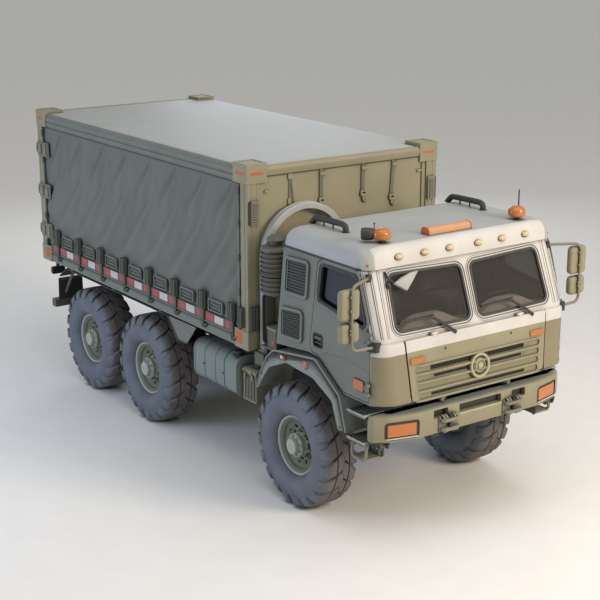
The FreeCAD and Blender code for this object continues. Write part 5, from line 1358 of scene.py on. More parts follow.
def makeBatteryBox():
    x0, x1, y0, y1, z0, z1 = side["battery"]
    near, far = boxFront + y0, boxFront + y1
    case = carved(plate("y", near, far, x0 + 0.012, z0, x1, z1 - 0.03, 0.02),
        [brick(x0 - 0.01, y0 + 0.02, z0 + 0.03, x0 + 0.018, y1 - 0.02, z1 - 0.075)])
    lid = slab("y", near - 0.006, far + 0.006, [(x0, z1 - 0.05), (x1 + 0.01, z1 - 0.05), (x1 + 0.01, z1 - 0.004),
        (x0 + 0.04, z1), (x0, z1 - 0.018)], 0.012)
    ribs = [plate("y", y - 0.007, y + 0.007, x0 + 0.004, z0 + 0.035, x0 + 0.022, z1 - 0.08, 0.004, 3)
        for y in (near + 0.04 + 0.0285 * k for k in range(7))]
    latches = []
    for y in (y0 + 0.06, y1 - 0.06):
        latches.append(brick(x0 - 0.008, y - 0.014, z1 - 0.11, x0 + 0.006, y + 0.014, z1 - 0.03))
        latches.append(tube([at(x0 - 0.008, y - 0.01, z1 - 0.06), at(x0 - 0.012, y, z1 - 0.03),
            at(x0 - 0.008, y + 0.01, z1 - 0.06)], 0.003, 6))
    hanger = brick(-0.68, 0.12, 1.1, -0.425, 0.2, 1.18)
    # air drier, a valve and their pipes above the box
    fittings = [turnedAt(at(x0 + 0.13, y0 + 0.11, z1 - 0.01), (0, 0, 1),
        [(0, 0), (0, 0.062), (0.02, 0.066), (0.026, 0.058), (0.13, 0.058), (0.136, 0.064), (0.16, 0.06),
        (0.178, 0.03), (0.18, 0)])]
    fittings.append(plate("y", near + 0.03, near + 0.18, -0.9, z1 - 0.006, -0.76, z1 + 0.13, 0.015))
    fittings += [pipe(path, corner, 5, radius, 8) for path, corner,
        radius in (([(-0.9, 0.12, 1.29), (-0.96, 0.12, 1.29), (-0.96, 0.05, 1.33), (-0.96, 0.02, 1.2)], 0.03,
        0.008), ([(-0.83, 0.16, 1.32), (-0.83, 0.23, 1.36), (-0.6, 0.26, 1.33), (-0.42, 0.26, 1.15)], 0.04,
        0.009), ([(x0 + 0.13, 0.15, 1.34), (x0 + 0.13, 0.24, 1.35), (x0 + 0.18, 0.28, 1.3), (-0.7, 0.29, 1.23)],
        0.03, 0.007))]
    makePiece("batteryBoxCase", "chassis", [(khakiCast, [case] + ribs + [hanger]), (khakiPaint, [lid]),
        (darkPaint, fittings), (platedSteel, latches)], bevel=0.003, replaces=["battery_box"], slot="cast_paint")


def makeLeftSide():
    along = (0, 1, 0)
    x, y0, y1, radius = side["airTanks"]
    long, tanks, bands = y1 - y0, [], []
    end = [(0, 0), (0.004, radius * 0.5), (0.022, radius * 0.86), (0.045, radius - 0.001), (0.047, radius)]
    for z in (0.98, 1.21):
        tanks.append(turnedAt(at(x, y0, z), along, end + [(long - a, r) for a, r in end[::-1]], 40))
        tanks.append(hexHead(at(x, y0 + 0.002, z), (0, -1, 0), 0.02, 0.018))
        bands += [turnedAt(at(x, y - 0.014, z), along, [(0, radius - 0.002), (0, radius + 0.003),
            (0.028, radius + 0.003), (0.028, radius - 0.002)], 40) for y in (y0 + 0.17, y1 - 0.17)]
    bands += [brick(0.425, y - 0.03, 0.94, x - 0.06, y + 0.03, 1.25) for y in (y0 + 0.17, y1 - 0.17)]
    makePiece("airTanks", "chassis", [(tankPaint, tanks), (darkPaint, bands)], sharp=38, replaces=["air_tanks"],
        slot="tank_paint")
    x, y0, y1, z, radius = side["silencer"]
    long = y1 - y0
    end = [(0, 0), (0, radius - 0.03), (0.004, radius - 0.014), (0.01, radius), (0.024, radius),
        (0.028, radius - 0.006), (long / 2 - 0.01, radius - 0.006)]
    can = turnedAt(at(x, y0, z), along, end + [(long / 2, radius - 0.002)]
        + [(long - a, r) for a, r in end[::-1]], 48)
    tail = turnedAt(at(x, y1 - 0.01, z), along, [(0, 0.04), (0, 0.052), (0.03, 0.052), (0.034, 0.045),
        (0.12, 0.045), (0.12, 0.04)])
    shelf = [brick(0.425, 0.72, 0.845, x + 0.06, 0.8, 0.87), brick(0.425, 0.72, 0.845, 0.445, 0.8, 1.1),
        brick(x - 0.06, 0.72, 0.845, x + 0.06, 0.8, 0.92)]
    shelf.append(turnedAt(at(x, 0.735, z), along, [(0, radius - 0.008), (0, radius + 0.001),
        (0.05, radius + 0.001), (0.05, radius - 0.008)], 48))
    makePiece("silencerCan", "chassis", [(darkSteel, [can, tail]), (darkPaint, shelf)], bevel=0.0015,
        replaces=["silencer"], slot="steel")


def arch(x, z, radius, foot):
    # (x, z) points up one leg, over the top and down the other
    bow = [math.pi * k / 40 for k in range(41)]
    return [(x - radius, foot)] + [(x + radius * math.cos(math.pi - t), z + radius * math.sin(t))
        for t in bow] + [(x + radius, foot)]


def makeBehindCab():
    x, z, radius, thick, y0, y1 = side["hoop"]
    foot, lift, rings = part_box("rear_hoop")[0].z, 0.006, []
    path = arch(x, z, radius, foot)
    for a, b in zip(path, arch(x, z, radius - thick, foot)):
        a, b = Vector(a), Vector(b)
        out = (a - b).normalized() * lift
        rings.append([at(p.x, y, p.y) for p, y in ((a - out, y0), (a, y0 + lift), (a, y1 - lift), (a - out, y1),
            (b + out, y1), (b, y1 - lift), (b, y0 + lift), (b + out, y0))])
    hoop = [loft(rings)] + [tube([at(a, y, b) for a, b in path], 0.008, 8) for y in (y0 + 0.012, y1 - 0.012)]
    hoop += [brick(a - 0.02, y0 - 0.01, foot, a + thick + 0.02, y1 + 0.004, foot + 0.014)
        for a in (x - radius, x + radius - thick)]
    makePiece("rearHoop", "chassis", [(roofPaint, hoop)], replaces=["rear_hoop"], slot="light_paint")
    x, y, radius, bottom = side["cleaner"]
    # ten rings, then a shoulder and the outlet
    profile = [(0, 0), (0, radius - 0.03), (0.008, radius - 0.02)]
    for i in range(9):
        profile += [(0.014 + 0.048 * i + a, radius - r) for a, r in ((0, 0.02), (0.012, 0.016), (0.016, 0.003),
            (0.02, 0), (0.026, 0), (0.03, 0.005), (0.034, 0.02))]
    profile += [(0.452, radius - 0.024), (0.455, radius - 0.004), (0.462, radius), (0.478, radius - 0.004),
        (0.488, radius - 0.025), (0.494, 0.085), (0.5, 0.075), (0.5, 0)]
    can = [turnedAt(at(x, y, bottom + lift), (0, 0, 1), line, count) for lift, line,
        count in ((0, profile, 56), (0.495, [(0, 0), (0, 0.064), (0.05, 0.064), (0.052, 0.096), (0.062, 0.1),
        (0.074, 0.094), (0.09, 0.078), (0.102, 0.05), (0.108, 0.018), (0.109, 0)], 48),
        (0.205, [(0, radius - 0.006), (0, radius + 0.004), (0.012, radius + 0.004), (0.012, radius - 0.006)],
        56))]
    shelf = [brick(x - 0.05, -0.19, 1.458, x + 0.05, -0.145, bottom + 0.005),
        brick(x - 0.06, y - 0.06, bottom - 0.025, x + 0.06, -0.145, bottom + 0.005),
        brick(-1.18, -0.4, 1.54, -0.82, -0.14, 1.56), brick(-1.1, -0.2, 1.458, -1.04, -0.14, 1.545)]
    makePiece("airCleaner", "chassis", [(cleanerPaint, can), (framePaint, shelf)], sharp=40,
        replaces=["air_cleaner"], slot="chassis_paint")
    hoses = [pipe([(x + 0.06, y, bottom - 0.01), (x + 0.06, y, bottom - 0.16), (x + 0.26, y - 0.02, bottom - 0.3),
        (-0.56, -0.3, 1.55)], 0.12, 7, 0.052, 20)]
    hoses += [pipe([(a, -0.215, 1.6), (a, -0.165, 1.6), (a, -0.165, 2.08), (a + 0.04, -0.2, 2.12)], 0.03, 4,
        0.009, 8) for a in (-1.175, -1.155, -1.038)]
    first, second, lid = [plate("z", z0, z1, x0, boxFront + a, x1, boxFront + b, 0.02) for z0, z1, x0, a, x1,
        b in ((1.56, 1.76, -1.175, -0.4, -1.03, -0.23), (1.5, 1.7, -0.96, -0.38, -0.83, -0.22),
        (1.752, 1.776, -1.181, -0.406, -1.024, -0.224))]
    tag = sidePlate(-1.18, -1.174, -0.372, 1.6, -0.322, 1.648, 0.006, 3)
    # the tag takes the red lens, whose faint glow is painted light on a part that is no lamp
    makePiece("cleanerPipework", "chassis", [(sealRubber, hoses), (stepsPaint, [first, second]),
        (khakiCast, [lid]), (redLens, [tag])], bevel=0.003, slot="black_plastic")


def makeRearEnd():
    # skirts ahead of the middle wheels, flaps behind the rear ones, struts to the under-run bar, lamps
    skirt = rounded(fromFront([(1.1, 1.436), (1.315, 1.195), (1.49, 1.195), (1.715, 1.43)]),
        [0.01, 0.03, 0.05, 0.01], 4)
    flap = slab("y", boxFront + 4.545, boxFront + 4.552, [(0.86, 1.245), (1.2, 1.245), (1.205, 0.96),
        (0.855, 0.96)], 0.02)
    stays = [tube([at(1.206, 1.735, 1.44), at(1.206, 1.5, 1.185)], 0.013, 10),
        tube([at(1.1, 4.18, 1.44), at(1.1, 4.3, 1.38), at(1.1, 4.62, 0.955)], 0.02, 10),
        brick(0.86, 4.538, 1.215, 1.2, 4.548, 1.25)]
    makePiece("rearSkirts", "chassis", [(skirtPaint, both(prism(skirt, "x", 1.196, 1.212))),
        (framePaint, pairs(stays)), (sealRubber, both(flap))], bevel=0.002, slot="chassis_paint")
    low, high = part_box("tail_lamps")
    z, back = low.z, boxFront + 4.798
    case = plate("y", boxFront + 4.752, boxFront + 4.8, 1.0, z, 1.18, z + 0.095, 0.018)
    reds = [plate("y", back, back + 0.013, 1.062, z + 0.01, 1.172, z + 0.085, 0.012),
        sidePlate(1.178, 1.186, 4.764, z + 0.02, 4.794, z + 0.075, 0.008)]
    amber = plate("y", back, back + 0.013, 1.008, z + 0.01, 1.058, z + 0.085, 0.012)
    makePiece("tailLampCases", "chassis", [(blackPlastic, both(case)), (redLens, pairs(reds)),
        (orangeLens, both(amber)), (framePaint, both(brick(1.07, 4.762, z + 0.09, 1.11, 4.796, high.z)))],
        bevel=0.002, replaces=["tail_lamps"], slot="red_lens")


makeTank()
makeBatteryBox()
makeLeftSide()
makeBehindCab()
makeRearEnd()
print("stage: tanks and rear end made")

# box body

box = {
    "half": 1.25,
    "face": 1.244,
    "casting": (0.25, 0.257, 0.205),       # across, along, up
    "buckleStart": 0.3,
    "bucklePitch": 0.585,
    "tape": 0.195,
    "straps": [(-0.32, 0.0, 2.95), (0.226, 0.0, 2.965), (0.64, -0.024, 2.88)],      # x, lean, lower end
}
boxLow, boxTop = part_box("container_posts")[0].z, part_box("container_posts")[1].z
boxLong = 4.87
castUp, castLong = box["casting"][2], box["casting"][1]
curtainLow, curtainTop = boxLow + castUp, boxTop - castUp
rearHinges, rearPin = (1.86, 2.375, 2.91), (1.238, boxFront + 4.893)


def atRear(shape):
    # the same shape at the other end of the box
    return [Vector((p[0], 2 * boxFront + boxLong - p[1], p[2])) for p in shape[0]], [tuple(reversed(f))
        for f in shape[1]]


def casting(z):
    across, along, up = box["casting"]
    half = box["half"]
    body = brick(half - across, 0, z, half, along, z + up)
    recess = offset(rectangle(half - across, boxFront, half, boxFront + along), -0.03)
    cuts = [prism(recess, "z", *((z + up - 0.006, z + up + 0.02) if z > 2 else (z - 0.02, z + 0.006)))]
    return carved(body, cuts)


def fluted(y, z0, z1, wide=0.05, deep=0.046):
    # a buckle block: ribs down its face, a stepped foot
    face = box["face"]
    ribs = [y - wide + wide * (k + 0.5) * 2 / 3 for k in range(3)]
    return [sidePlate(face - 0.002, face + deep * 0.55, y - wide, z0, y + wide, z1, 0.012)] + [sidePlate(face,
        face + deep, a - wide * 0.22, z0 + 0.01, a + wide * 0.22, z1 + 0.006, 0.006, 3) for a in ribs]


def makePosts():
    face, half = box["face"], box["half"]
    # posts with pressed grooves
    line = [(1.1, 0.13), (1.1, 0.006)]
    line += [(x + a, b) for x in (1.122, 1.182) for a, b in ((0, 0.006), (0.003, 0.01), (0.009, 0.01),
        (0.012, 0.006))]
    line += [(face - a, b) for a, b in ((0.004, 0.006), (0, 0.01), (0, 0.044), (0.006, 0.048), (0.006, 0.056),
        (0, 0.06), (0, 0.13))]
    post = prism([(x, boxFront + y) for x, y in line], "z", curtainLow - 0.002, curtainTop + 0.002)
    shapes = pairs([casting(boxLow), casting(boxTop - castUp), post])
    shapes += [atRear(s) for s in shapes]
    makePiece("cornerPosts", "chassis", [(khakiPaint, shapes)], bevel=0.005, replaces=["container_posts"],
        slot="body_paint")
    cast = [brick(1.11, -0.02, 2.78, 1.206, 0.008, 3.03)]
    cast += [brick(1.128, -0.03, z, 1.19, -0.016, z + 0.012) for z in (2.8 + k * 0.024 for k in range(9))]
    dark = brick(1.206, -0.014, 2.79, 1.226, 0.008, 3.02)
    marks = pairs([sidePlate(half - 0.002, half + 0.0012, 0.118, boxLow + 0.05, 0.222, boxLow + 0.172, 0.006, 3),
        sidePlate(half - 0.002, half + 0.001, 0.05, boxTop - 0.118, 0.2, boxTop - 0.092, 0.004, 3),
        plate("y", boxFront - 0.001, boxFront + 0.002, half - 0.2, boxTop - 0.118, half - 0.05, boxTop - 0.092,
        0.004, 3)])
    marks += [atRear(s) for s in marks]
    # hinge straps, pins and lugs of the rear doors
    x, y = rearPin
    for z in rearHinges:
        strap = roundRect(boxFront + 4.552, z - 0.093, boxFront + 4.862, z + 0.093, 0.018)
        cast += [prism(strap, "x", face - 0.001, face + 0.009),
            band(offset(strap, -0.014), offset(strap, -0.03), "x", face, face + 0.015)]
        cast += [sidePlate(face, face + 0.022, a - 0.034, z - 0.06, a + 0.034, z + 0.06, 0.01, 3)
            for a in (4.64, 4.78)]
        cast += [hexHead(at(face + 0.008, a, z + b), (1, 0, 0), 0.01, 0.01) for a in (4.59, 4.835)
            for b in (-0.07, 0.07)]
        cast.append(upright(x, y, z - 0.06, z + 0.06, 0.009, 14))
        for s in (z - 0.045, z + 0.045):
            cast += [upright(x, y, s - 0.014, s + 0.014, 0.016, 20, 0.002),
                block((x - 0.011, boxFront + 4.862, s - 0.013), (x + 0.011, y, s + 0.013))]
    makePiece("postFittings", "chassis", [(khakiCast, pairs(cast)), (darkPaint, both(dark)),
        (orangePaint, marks)], bevel=0.003, slot="chassis_paint")


def makeRails():
    face, tape, reach = box["face"], box["tape"], boxLong - castLong
    top = [(face - a, curtainTop + b) for a, b in ((0.084, 0), (0.012, 0), (0.012, 0.018), (0.002, 0.022),
        (0.002, 0.06), (0.01, 0.066), (0.01, 0.076), (0, 0.082), (0, 0.126), (0.012, 0.13), (0.018, 0.144),
        (0.034, 0.158), (0.06, 0.164), (0.084, 0.164))]
    sill = [(face - a, boxLow + b) for a, b in ((0.06, 0), (0.02, 0), (0.006, 0.01), (0.001, 0.032),
        (0.001, 0.078), (0.008, 0.098), (0.022, 0.112), (0.022, 0.12), (-0.006, 0.122), (-0.008, 0.13),
        (-0.006, 0.138), (0.014, 0.14), (0.006, 0.146), (0.006, castUp), (0.06, castUp))]
    rails = [prism(line, "y", boxFront + castLong, boxFront + reach) for line in (top, sill)]
    makePiece("boxSideRails", "chassis", [(greenPaint, pairs(rails))], bevel=0.003,
        replaces=["container_side_rails"], slot="body_paint")
    # a skirt of cloth-backed rubber carries the tape along the curtain's foot
    skirt, strips = both(brick(face - 0.006, castLong + 0.01, 1.596, face - 0.001, reach - 0.01,
        1.7)), {redTape: [], whiteTape: []}
    start, k = castLong + 0.03, 0
    while start + tape < reach:
        kind, share = (whiteTape, 0.92) if k % 3 == 1 else (redTape, 0.8)
        strips[kind] += both(brick(face - 0.002, start + 0.002, 1.606, face + 0.001, start + tape * share, 1.69))
        start, k = start + tape, k + 1
    makePiece("reflectiveTape", "chassis", [(framePaint, skirt), *strips.items()], sharp=40,
        slot="curtain_fabric")


def makeBuckles():
    face, start, pitch = box["face"], box["buckleStart"], box["bucklePitch"]
    ys = [start + k * pitch for k in range(int((boxLong - 0.35 - start) / pitch) + 1)]
    posts, frames, hooks = fluted(0.105, 1.69, 1.905, wide=0.034), [], []
    for y in ys:
        posts += fluted(y, 1.715, 1.912)
        posts += [sidePlate(face - 0.002, face + 0.02, y - 0.028, 1.552, y + 0.028, 1.725, 0.008, 3),
            hexHead(at(face + 0.02, y, 1.585), (1, 0, 0), 0.009, 0.01)]
        hooks.append(pipe([(face + 0.016, y, 1.56), (face + 0.02, y, 1.522), (face + 0.012, y - 0.05, 1.515),
            (face + 0.004, y - 0.085, 1.562)], 0.025, 5, 0.007, 8))
    for y in (boxFront + y for y in ys[:-1]):
        line, inner = roundRect(y + 0.19, 1.728, y + 0.468, 1.862, 0.016), roundRect(y + 0.23, 1.77, y + 0.425,
            1.818, 0.012)
        frames += [band(line, offset(line, -0.014), "x", face - 0.01, face + 0.012),
            band(inner, offset(inner, -0.01), "x", face - 0.004, face + 0.008)]
        posts.append(prism(offset(line, -0.016), "x", face - 0.01, face - 0.001))
    posts += [brick(1.112 + k * 0.03, -0.016 - 0.006 * (k % 2), 1.668, 1.138 + k * 0.03, 0.008, 1.92)
        for k in range(4)]
    posts.append(brick(1.108, -0.01, 1.664, 1.232, 0.008, 1.905))
    makePiece("curtainBuckles", "chassis", [(stepsPaint, pairs(posts)), (greenPaint, pairs(frames)),
        (darkSteel, pairs(hooks))], bevel=0.003, replaces=["curtain_buckles"], slot="steel")
    ends = (0.158, boxLong - 0.158)
    poles = [upright(face + 0.002, boxFront + y, curtainLow + 0.03, curtainTop - 0.01, 0.012, 14) for y in ends]
    catches = [sidePlate(face - 0.006, face + 0.018, y - 0.018, z - 0.036, y + 0.018, z + 0.036, 0.008, 3)
        for y in ends for z in (1.7, 2.06, 2.42, 2.78, 3.12)]
    makePiece("curtainPoles", "chassis", [(greenPaint, pairs(poles)), (stepsPaint, pairs(catches))], bevel=0.002,
        slot="steel")


def makeBoxEnds():
    face, reach, wall = box["face"], box["half"] - 0.25, boxFront + 0.02
    header = [(boxFront + y, boxTop - drop) for y, drop in ((0.01, 0.14), (0.086, 0.14), (0.086, 0.044),
        (0.046, 0.036), (0.012, 0.05), (0.002, 0.078))]
    panel = [(reach, boxLow), (reach, curtainLow), (1.1, curtainLow), (1.1, curtainTop), (reach, curtainTop),
        (reach, boxTop - 0.05)]
    walls = [slab("x", -reach, reach, header, [0.004, 0.004, 0.01, 0.02, 0.02, 0.01]),
        prism(mirroredLine(panel), "y", boxFront + 0.022, boxFront + 0.062),
        sidePlate(-reach, reach, 0.006, boxLow, 0.086, curtainLow, 0.01, 3)]
    walls += [slab("x", -1.09, 1.09, fromFront([(0.0225, z - 0.02), (0.014, z - 0.01), (0.014, z + 0.01),
        (0.0225, z + 0.02)]), 0.004, 3) for z in (1.72, 2.3)]
    # dark strips under the header and down beside the post: painted shadow lines
    grooves = [sidePlate(-reach, reach, 0.012, boxTop - 0.15, 0.03, boxTop - 0.139, 0.002, 2),
        brick(1.032, 0.018, curtainLow, 1.048, 0.0235, curtainTop - 0.003)]
    makePiece("boxFrontWall", "chassis", [(khakiPaint, walls), (darkPaint, grooves)], bevel=0.004,
        replaces=["container_front_wall"], slot="body_paint")
    belts, metal, top = [], [], boxTop - 0.142
    for x, lean, low in box["straps"]:
        foot = x + lean
        belts.append(loft([[(x + dx + lean * share, wall - out, top + (low - top) * share) for dx,
            out in ((-0.024, 0), (0.024, 0), (0.02, 0.014), (-0.02, 0.014))] for share in (0, 0.35, 0.7, 1.0)]))
        metal.append(plate("y", wall - 0.022, wall, x - 0.02, top - 0.062, x + 0.062, top - 0.03, 0.008, 3))
        metal.append(band(roundRect(foot - 0.034, low - 0.046, foot + 0.046, low + 0.014, 0.012),
            roundRect(foot - 0.014, low - 0.024, foot + 0.026, low - 0.004, 0.008), "y", wall - 0.026,
            wall - 0.004))
        metal.append(tube([(foot + dx, wall - out, low - drop) for dx, out,
            drop in ((0, 0.012, 0.046), (0, 0.022, 0.09), (0.022, 0.022, 0.108), (0.034, 0.018, 0.08))], 0.013,
            8))
    for x0, x1 in ((-0.712, -0.726), (-0.706, -0.652)):
        belts.append(loft([[(x0 + (x1 - x0) * share + dx, wall - out, 3.262 - 0.41 * share) for dx,
            out in ((-0.011, 0), (0.011, 0), (0.011, 0.006), (-0.011, 0.006))] for share in (0, 0.5, 1)]))
    metal += [plate("y", wall - deep, wall, *corners, 3) for deep,
        corners in ((0.014, (-0.738, 3.2, -0.682, 3.258, 0.008)), (0.014, (-0.742, 2.94, -0.704, 3.0, 0.008)),
        (0.016, (-1.03, 3.096, -0.97, 3.12, 0.006)), (0.016, (0.97, 3.096, 1.03, 3.12, 0.006)))]
    makePiece("wallStraps", "chassis", [(webbing, belts), (khakiPaint, metal)], bevel=0.0015,
        slot="curtain_fabric")
    # roof sheet with a turned-down edge
    outline = [(reach, 0.086), (reach, castLong), (face - 0.05, castLong), (face - 0.05, boxLong / 2)]
    sheet = [(x, boxFront + y) for x, y in mirroredLine(outline + [(x, boxLong - y) for x, y in outline[-2::-1]])]
    cover = loft([onAxis("z", offset(sheet, -inset) if inset else sheet, boxTop - drop) for inset,
        drop in ((0, 0.062), (0, 0.048), (0.012, 0.04), (0.05, 0.036))])
    rear = sidePlate(-reach, reach, boxLong - 0.086, boxTop - 0.205, boxLong - 0.006, boxTop - 0.038, 0.008, 3)
    bows = [sidePlate(-1.16, 1.16, y - 0.025, boxTop - 0.11, y + 0.025, boxTop - 0.05, 0.008, 3)
        for y in (boxLong * share for share in (0.25, 0.5, 0.75))]
    makePiece("boxRoof", "chassis", [(roofPaint, [cover]), (khakiPaint, [rear]), (framePaint, bows)], bevel=0.004,
        replaces=["container_roof"], slot="light_paint")


def makeRearDoors():
    outer, (hingeX, hingeY) = boxFront + boxLong - 0.006, rearPin
    leaf = block((0.004, outer - 0.055, curtainLow + 0.008), (1.092, outer, curtainTop - 0.008))
    leaf = carved(leaf, [plate("y", outer - 0.012, outer + 0.1, 0.06, z0, 1.04, z1, 0.03) for z0,
        z1 in ((1.74, 2.17), (2.23, 2.66), (2.72, 3.13))])
    seal = band(rectangle(0.0, curtainLow + 0.004, 1.096, curtainTop - 0.004),
        rectangle(0.014, curtainLow + 0.018, 1.08, curtainTop - 0.018), "y", outer - 0.04, outer - 0.02)
    rods, keeps, blades = [], [], []
    for x, toward in ((0.18, 1), (0.76, -1)):
        handle = [(x, outer + 0.03, 2.2), (x + toward * 0.06, outer + 0.048, 2.2),
            (x + toward * 0.33, outer + 0.048, 2.17)]
        rods += [upright(x, outer + 0.03, curtainLow + 0.03, curtainTop - 0.03, 0.0135, 18),
            tube(rounded(handle, 0.02, 4, closed=False), 0.01)]
        keeps += [plate("y", outer - 0.002, outer + 0.046, x - 0.032, z - 0.022, x + 0.032, z + 0.022, 0.006, 3)
            for z in (curtainLow + 0.06, 1.98, 2.43, 2.89, curtainTop - 0.06)]
        keeps += [block((x - 0.02, outer + 0.01, z - 0.014), (x + 0.02, outer + 0.052, z + 0.014))
            for z in (curtainLow + 0.026, curtainTop - 0.026)]
        keeps.append(block((x + toward * 0.3 - 0.02, outer - 0.002, 2.145),
            (x + toward * 0.3 + 0.02, outer + 0.04, 2.192)))
    for z in rearHinges:
        blades += [block((1.04, outer - 0.005, z - 0.025), (1.092, hingeY - 0.007, z + 0.025)),
            block((1.04, hingeY - 0.021, z - 0.025), (hingeX, hingeY - 0.007, z + 0.025)),
            upright(hingeX, hingeY, z - 0.03, z + 0.03, 0.016, 20, 0.002)]
        blades += [hexHead((a, hingeY - 0.007, z), (0, 1, 0), 0.009, 0.009) for a in (1.07, 1.13)]
    for hand, flip in hands:
        makePiece(f"rearDoorLeaf_{hand}", f"rear_leaf_{hand}", [(khakiPaint, [flip(leaf)]),
            (sealRubber, [flip(seal)])], bevel=0.004, replaces=[f"rear_door_{hand}"], slot="body_paint")
        makePiece(f"rearDoorFittings_{hand}", f"rear_leaf_{hand}",
            [(stepsPaint, [flip(s) for s in rods + keeps + blades])], bevel=0.002, slot="steel")


def foldDepth(here, v, tall):
    # cloth gathers at the rollers along the rail and is dragged back from them in slanting folds
    depth = 0.0
    for roller in (curtain["firstRoller"] + k * curtain["rollerPitch"] for k in range(-1, 9)):
        for begins, ends, lean, strength, sharp in curtain["folds"]:
            drop = (v - begins) / (ends - begins)
            if 0 <= drop <= 1:
                s = (here - roller - lean * tall * (v - begins)) / (sharp * (0.25 + 0.75 * drop))
                rise = 1 - drop if begins == 0 else math.sin(math.pi * drop)
                fade = min(1.0, rise * 1.6) * (1 if begins else min(1.0, 0.35 + drop * 5))
                depth += strength * fade * (math.exp(-s * s) - 0.75 * math.exp(-((s + 1.5) ** 2) * 0.8))
    return depth


def hungSheet():
    # the curtain, cut larger than its opening, hung from its rail and drawn down at each buckle
    pitch, start, wide, tall = box["bucklePitch"], 0.14, boxLong - 0.28, curtainTop - curtainLow - 0.012
    (across, down), (columns, rows) = curtain["cut"], curtain["grid"]
    points = [(0.0, across * i / columns, -down * j / rows) for j in range(rows + 1) for i in range(columns + 1)]
    corners = [j * (columns + 1) + i for j in range(rows) for i in range(columns)]
    mesh = bpy.data.meshes.new("curtain")
    mesh.from_pydata(points, [], [(a, a + 1, a + columns + 2, a + columns + 1) for a in corners])
    piece = addObject("curtain", mesh)
    piece.shape_key_add(name="cut")
    hung, pins = piece.shape_key_add(name="hung"), piece.vertex_groups.new(name="held")
    for index, (x, y, z) in enumerate(points):
        u, v = y / across, -z / down
        along = wide * u
        phase = 2 * math.pi * (along + start - curtain["firstRoller"]) / pitch
        gathered = along - curtain["gather"] * math.sin(phase) * (1 - v) ** 2
        edge = min(1.0, u / 0.02, (1 - u) / 0.02)
        lift = min(1.0, v * 18 + 0.15) * min(1.0, (1 - v) * 7)
        depth = foldDepth(along + start, v, tall) * edge * lift
        hung.data[index].co = (-depth, start + gathered + curtain["slip"] * v * edge,
            curtainTop - 0.006 - tall * v)
        i, j = index % (columns + 1), index // (columns + 1)
        buckles = (along + start - box["buckleStart"]) / pitch
        if j == 0 or i in (0, columns) or (j >= rows - 1 and abs(buckles - round(buckles)) * pitch < 0.06):
            pins.add([index], 1.0, "REPLACE")
        elif j == rows:
            pins.add([index], 0.25, "REPLACE")
    hung.value = 1.0
    cloth = piece.modifiers.new("cloth", "CLOTH")
    cloth.settings.vertex_group_mass = "held"
    cloth.settings.rest_shape_key = mesh.shape_keys.key_blocks["cut"]
    cloth.settings.quality, cloth.settings.mass = 6, 0.6
    cloth.settings.tension_stiffness = cloth.settings.compression_stiffness = 40
    cloth.settings.shear_stiffness, cloth.settings.bending_stiffness = 12, curtain["bending"]
    cloth.settings.air_damping, cloth.settings.tension_damping = 3.0, 10.0
    cloth.collision_settings.use_collision = False
    result = simulated(piece, curtain["frames"])
    spots, polygons = shapeOf(result)
    bpy.data.objects.remove(piece)
    for used in (mesh, result):
        bpy.data.meshes.remove(used)
    # kept clear of the load inside and of the buckles outside
    held = lambda x, most: most * math.tanh(x / most)
    return [Vector((box["face"] - 0.022 + held(p.x, 0.022 if p.x > 0 else 0.052), boxFront + p.y, p.z))
        for p in spots], polygons


curtain = {
    "cut": (4.672, 1.552),      # the flat cloth, along and down
    "grid": (144, 48),
    "gather": 0.012,
    "firstRoller": 0.27,
    "rollerPitch": 0.556,
    "slip": 0.06,              # the foot is drawn this far back
    "folds": [
        # from and to (shares of the drop), lean, depth, half width
        (0.0, 0.4, 0.9, 0.056, 0.08),
        (0.26, 0.86, 0.95, 0.036, 0.105),
    ],
    "bending": 3.0,
    "frames": 5,
}


def makeCurtains():
    cloth = hungSheet()
    for hand, flip in hands:
        piece = makePiece(f"sideCurtain_{hand}", "chassis", [(tarpaulin, [flip(cloth)])], sharp=80,
            slot="curtain_fabric")
        smoothed(piece)
        thick = piece.modifiers.new("thickness", "SOLIDIFY")
        thick.thickness, thick.offset = 0.0025, 0.0
        if hand == "right":
            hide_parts("side_curtains")


makePosts()
makeRails()
makeBuckles()
makeBoxEnds()
makeRearDoors()
makeCurtains()
print("stage: box body made")

# inside the cab, and the running gear

inside = {
    "humpHeight": 0.105,       # of the two humps of the dashboard above its shelf
    "humpAt": 0.5,
    "seatAt": 0.62,
    "seatHalf": 0.235,
    "voxel": 0.011,
    "pressure": 4.0,
    "swell": 0.016,            # no point of a pad moves further than this
    "frames": 20,
    "seamDepth": 0.008,
}


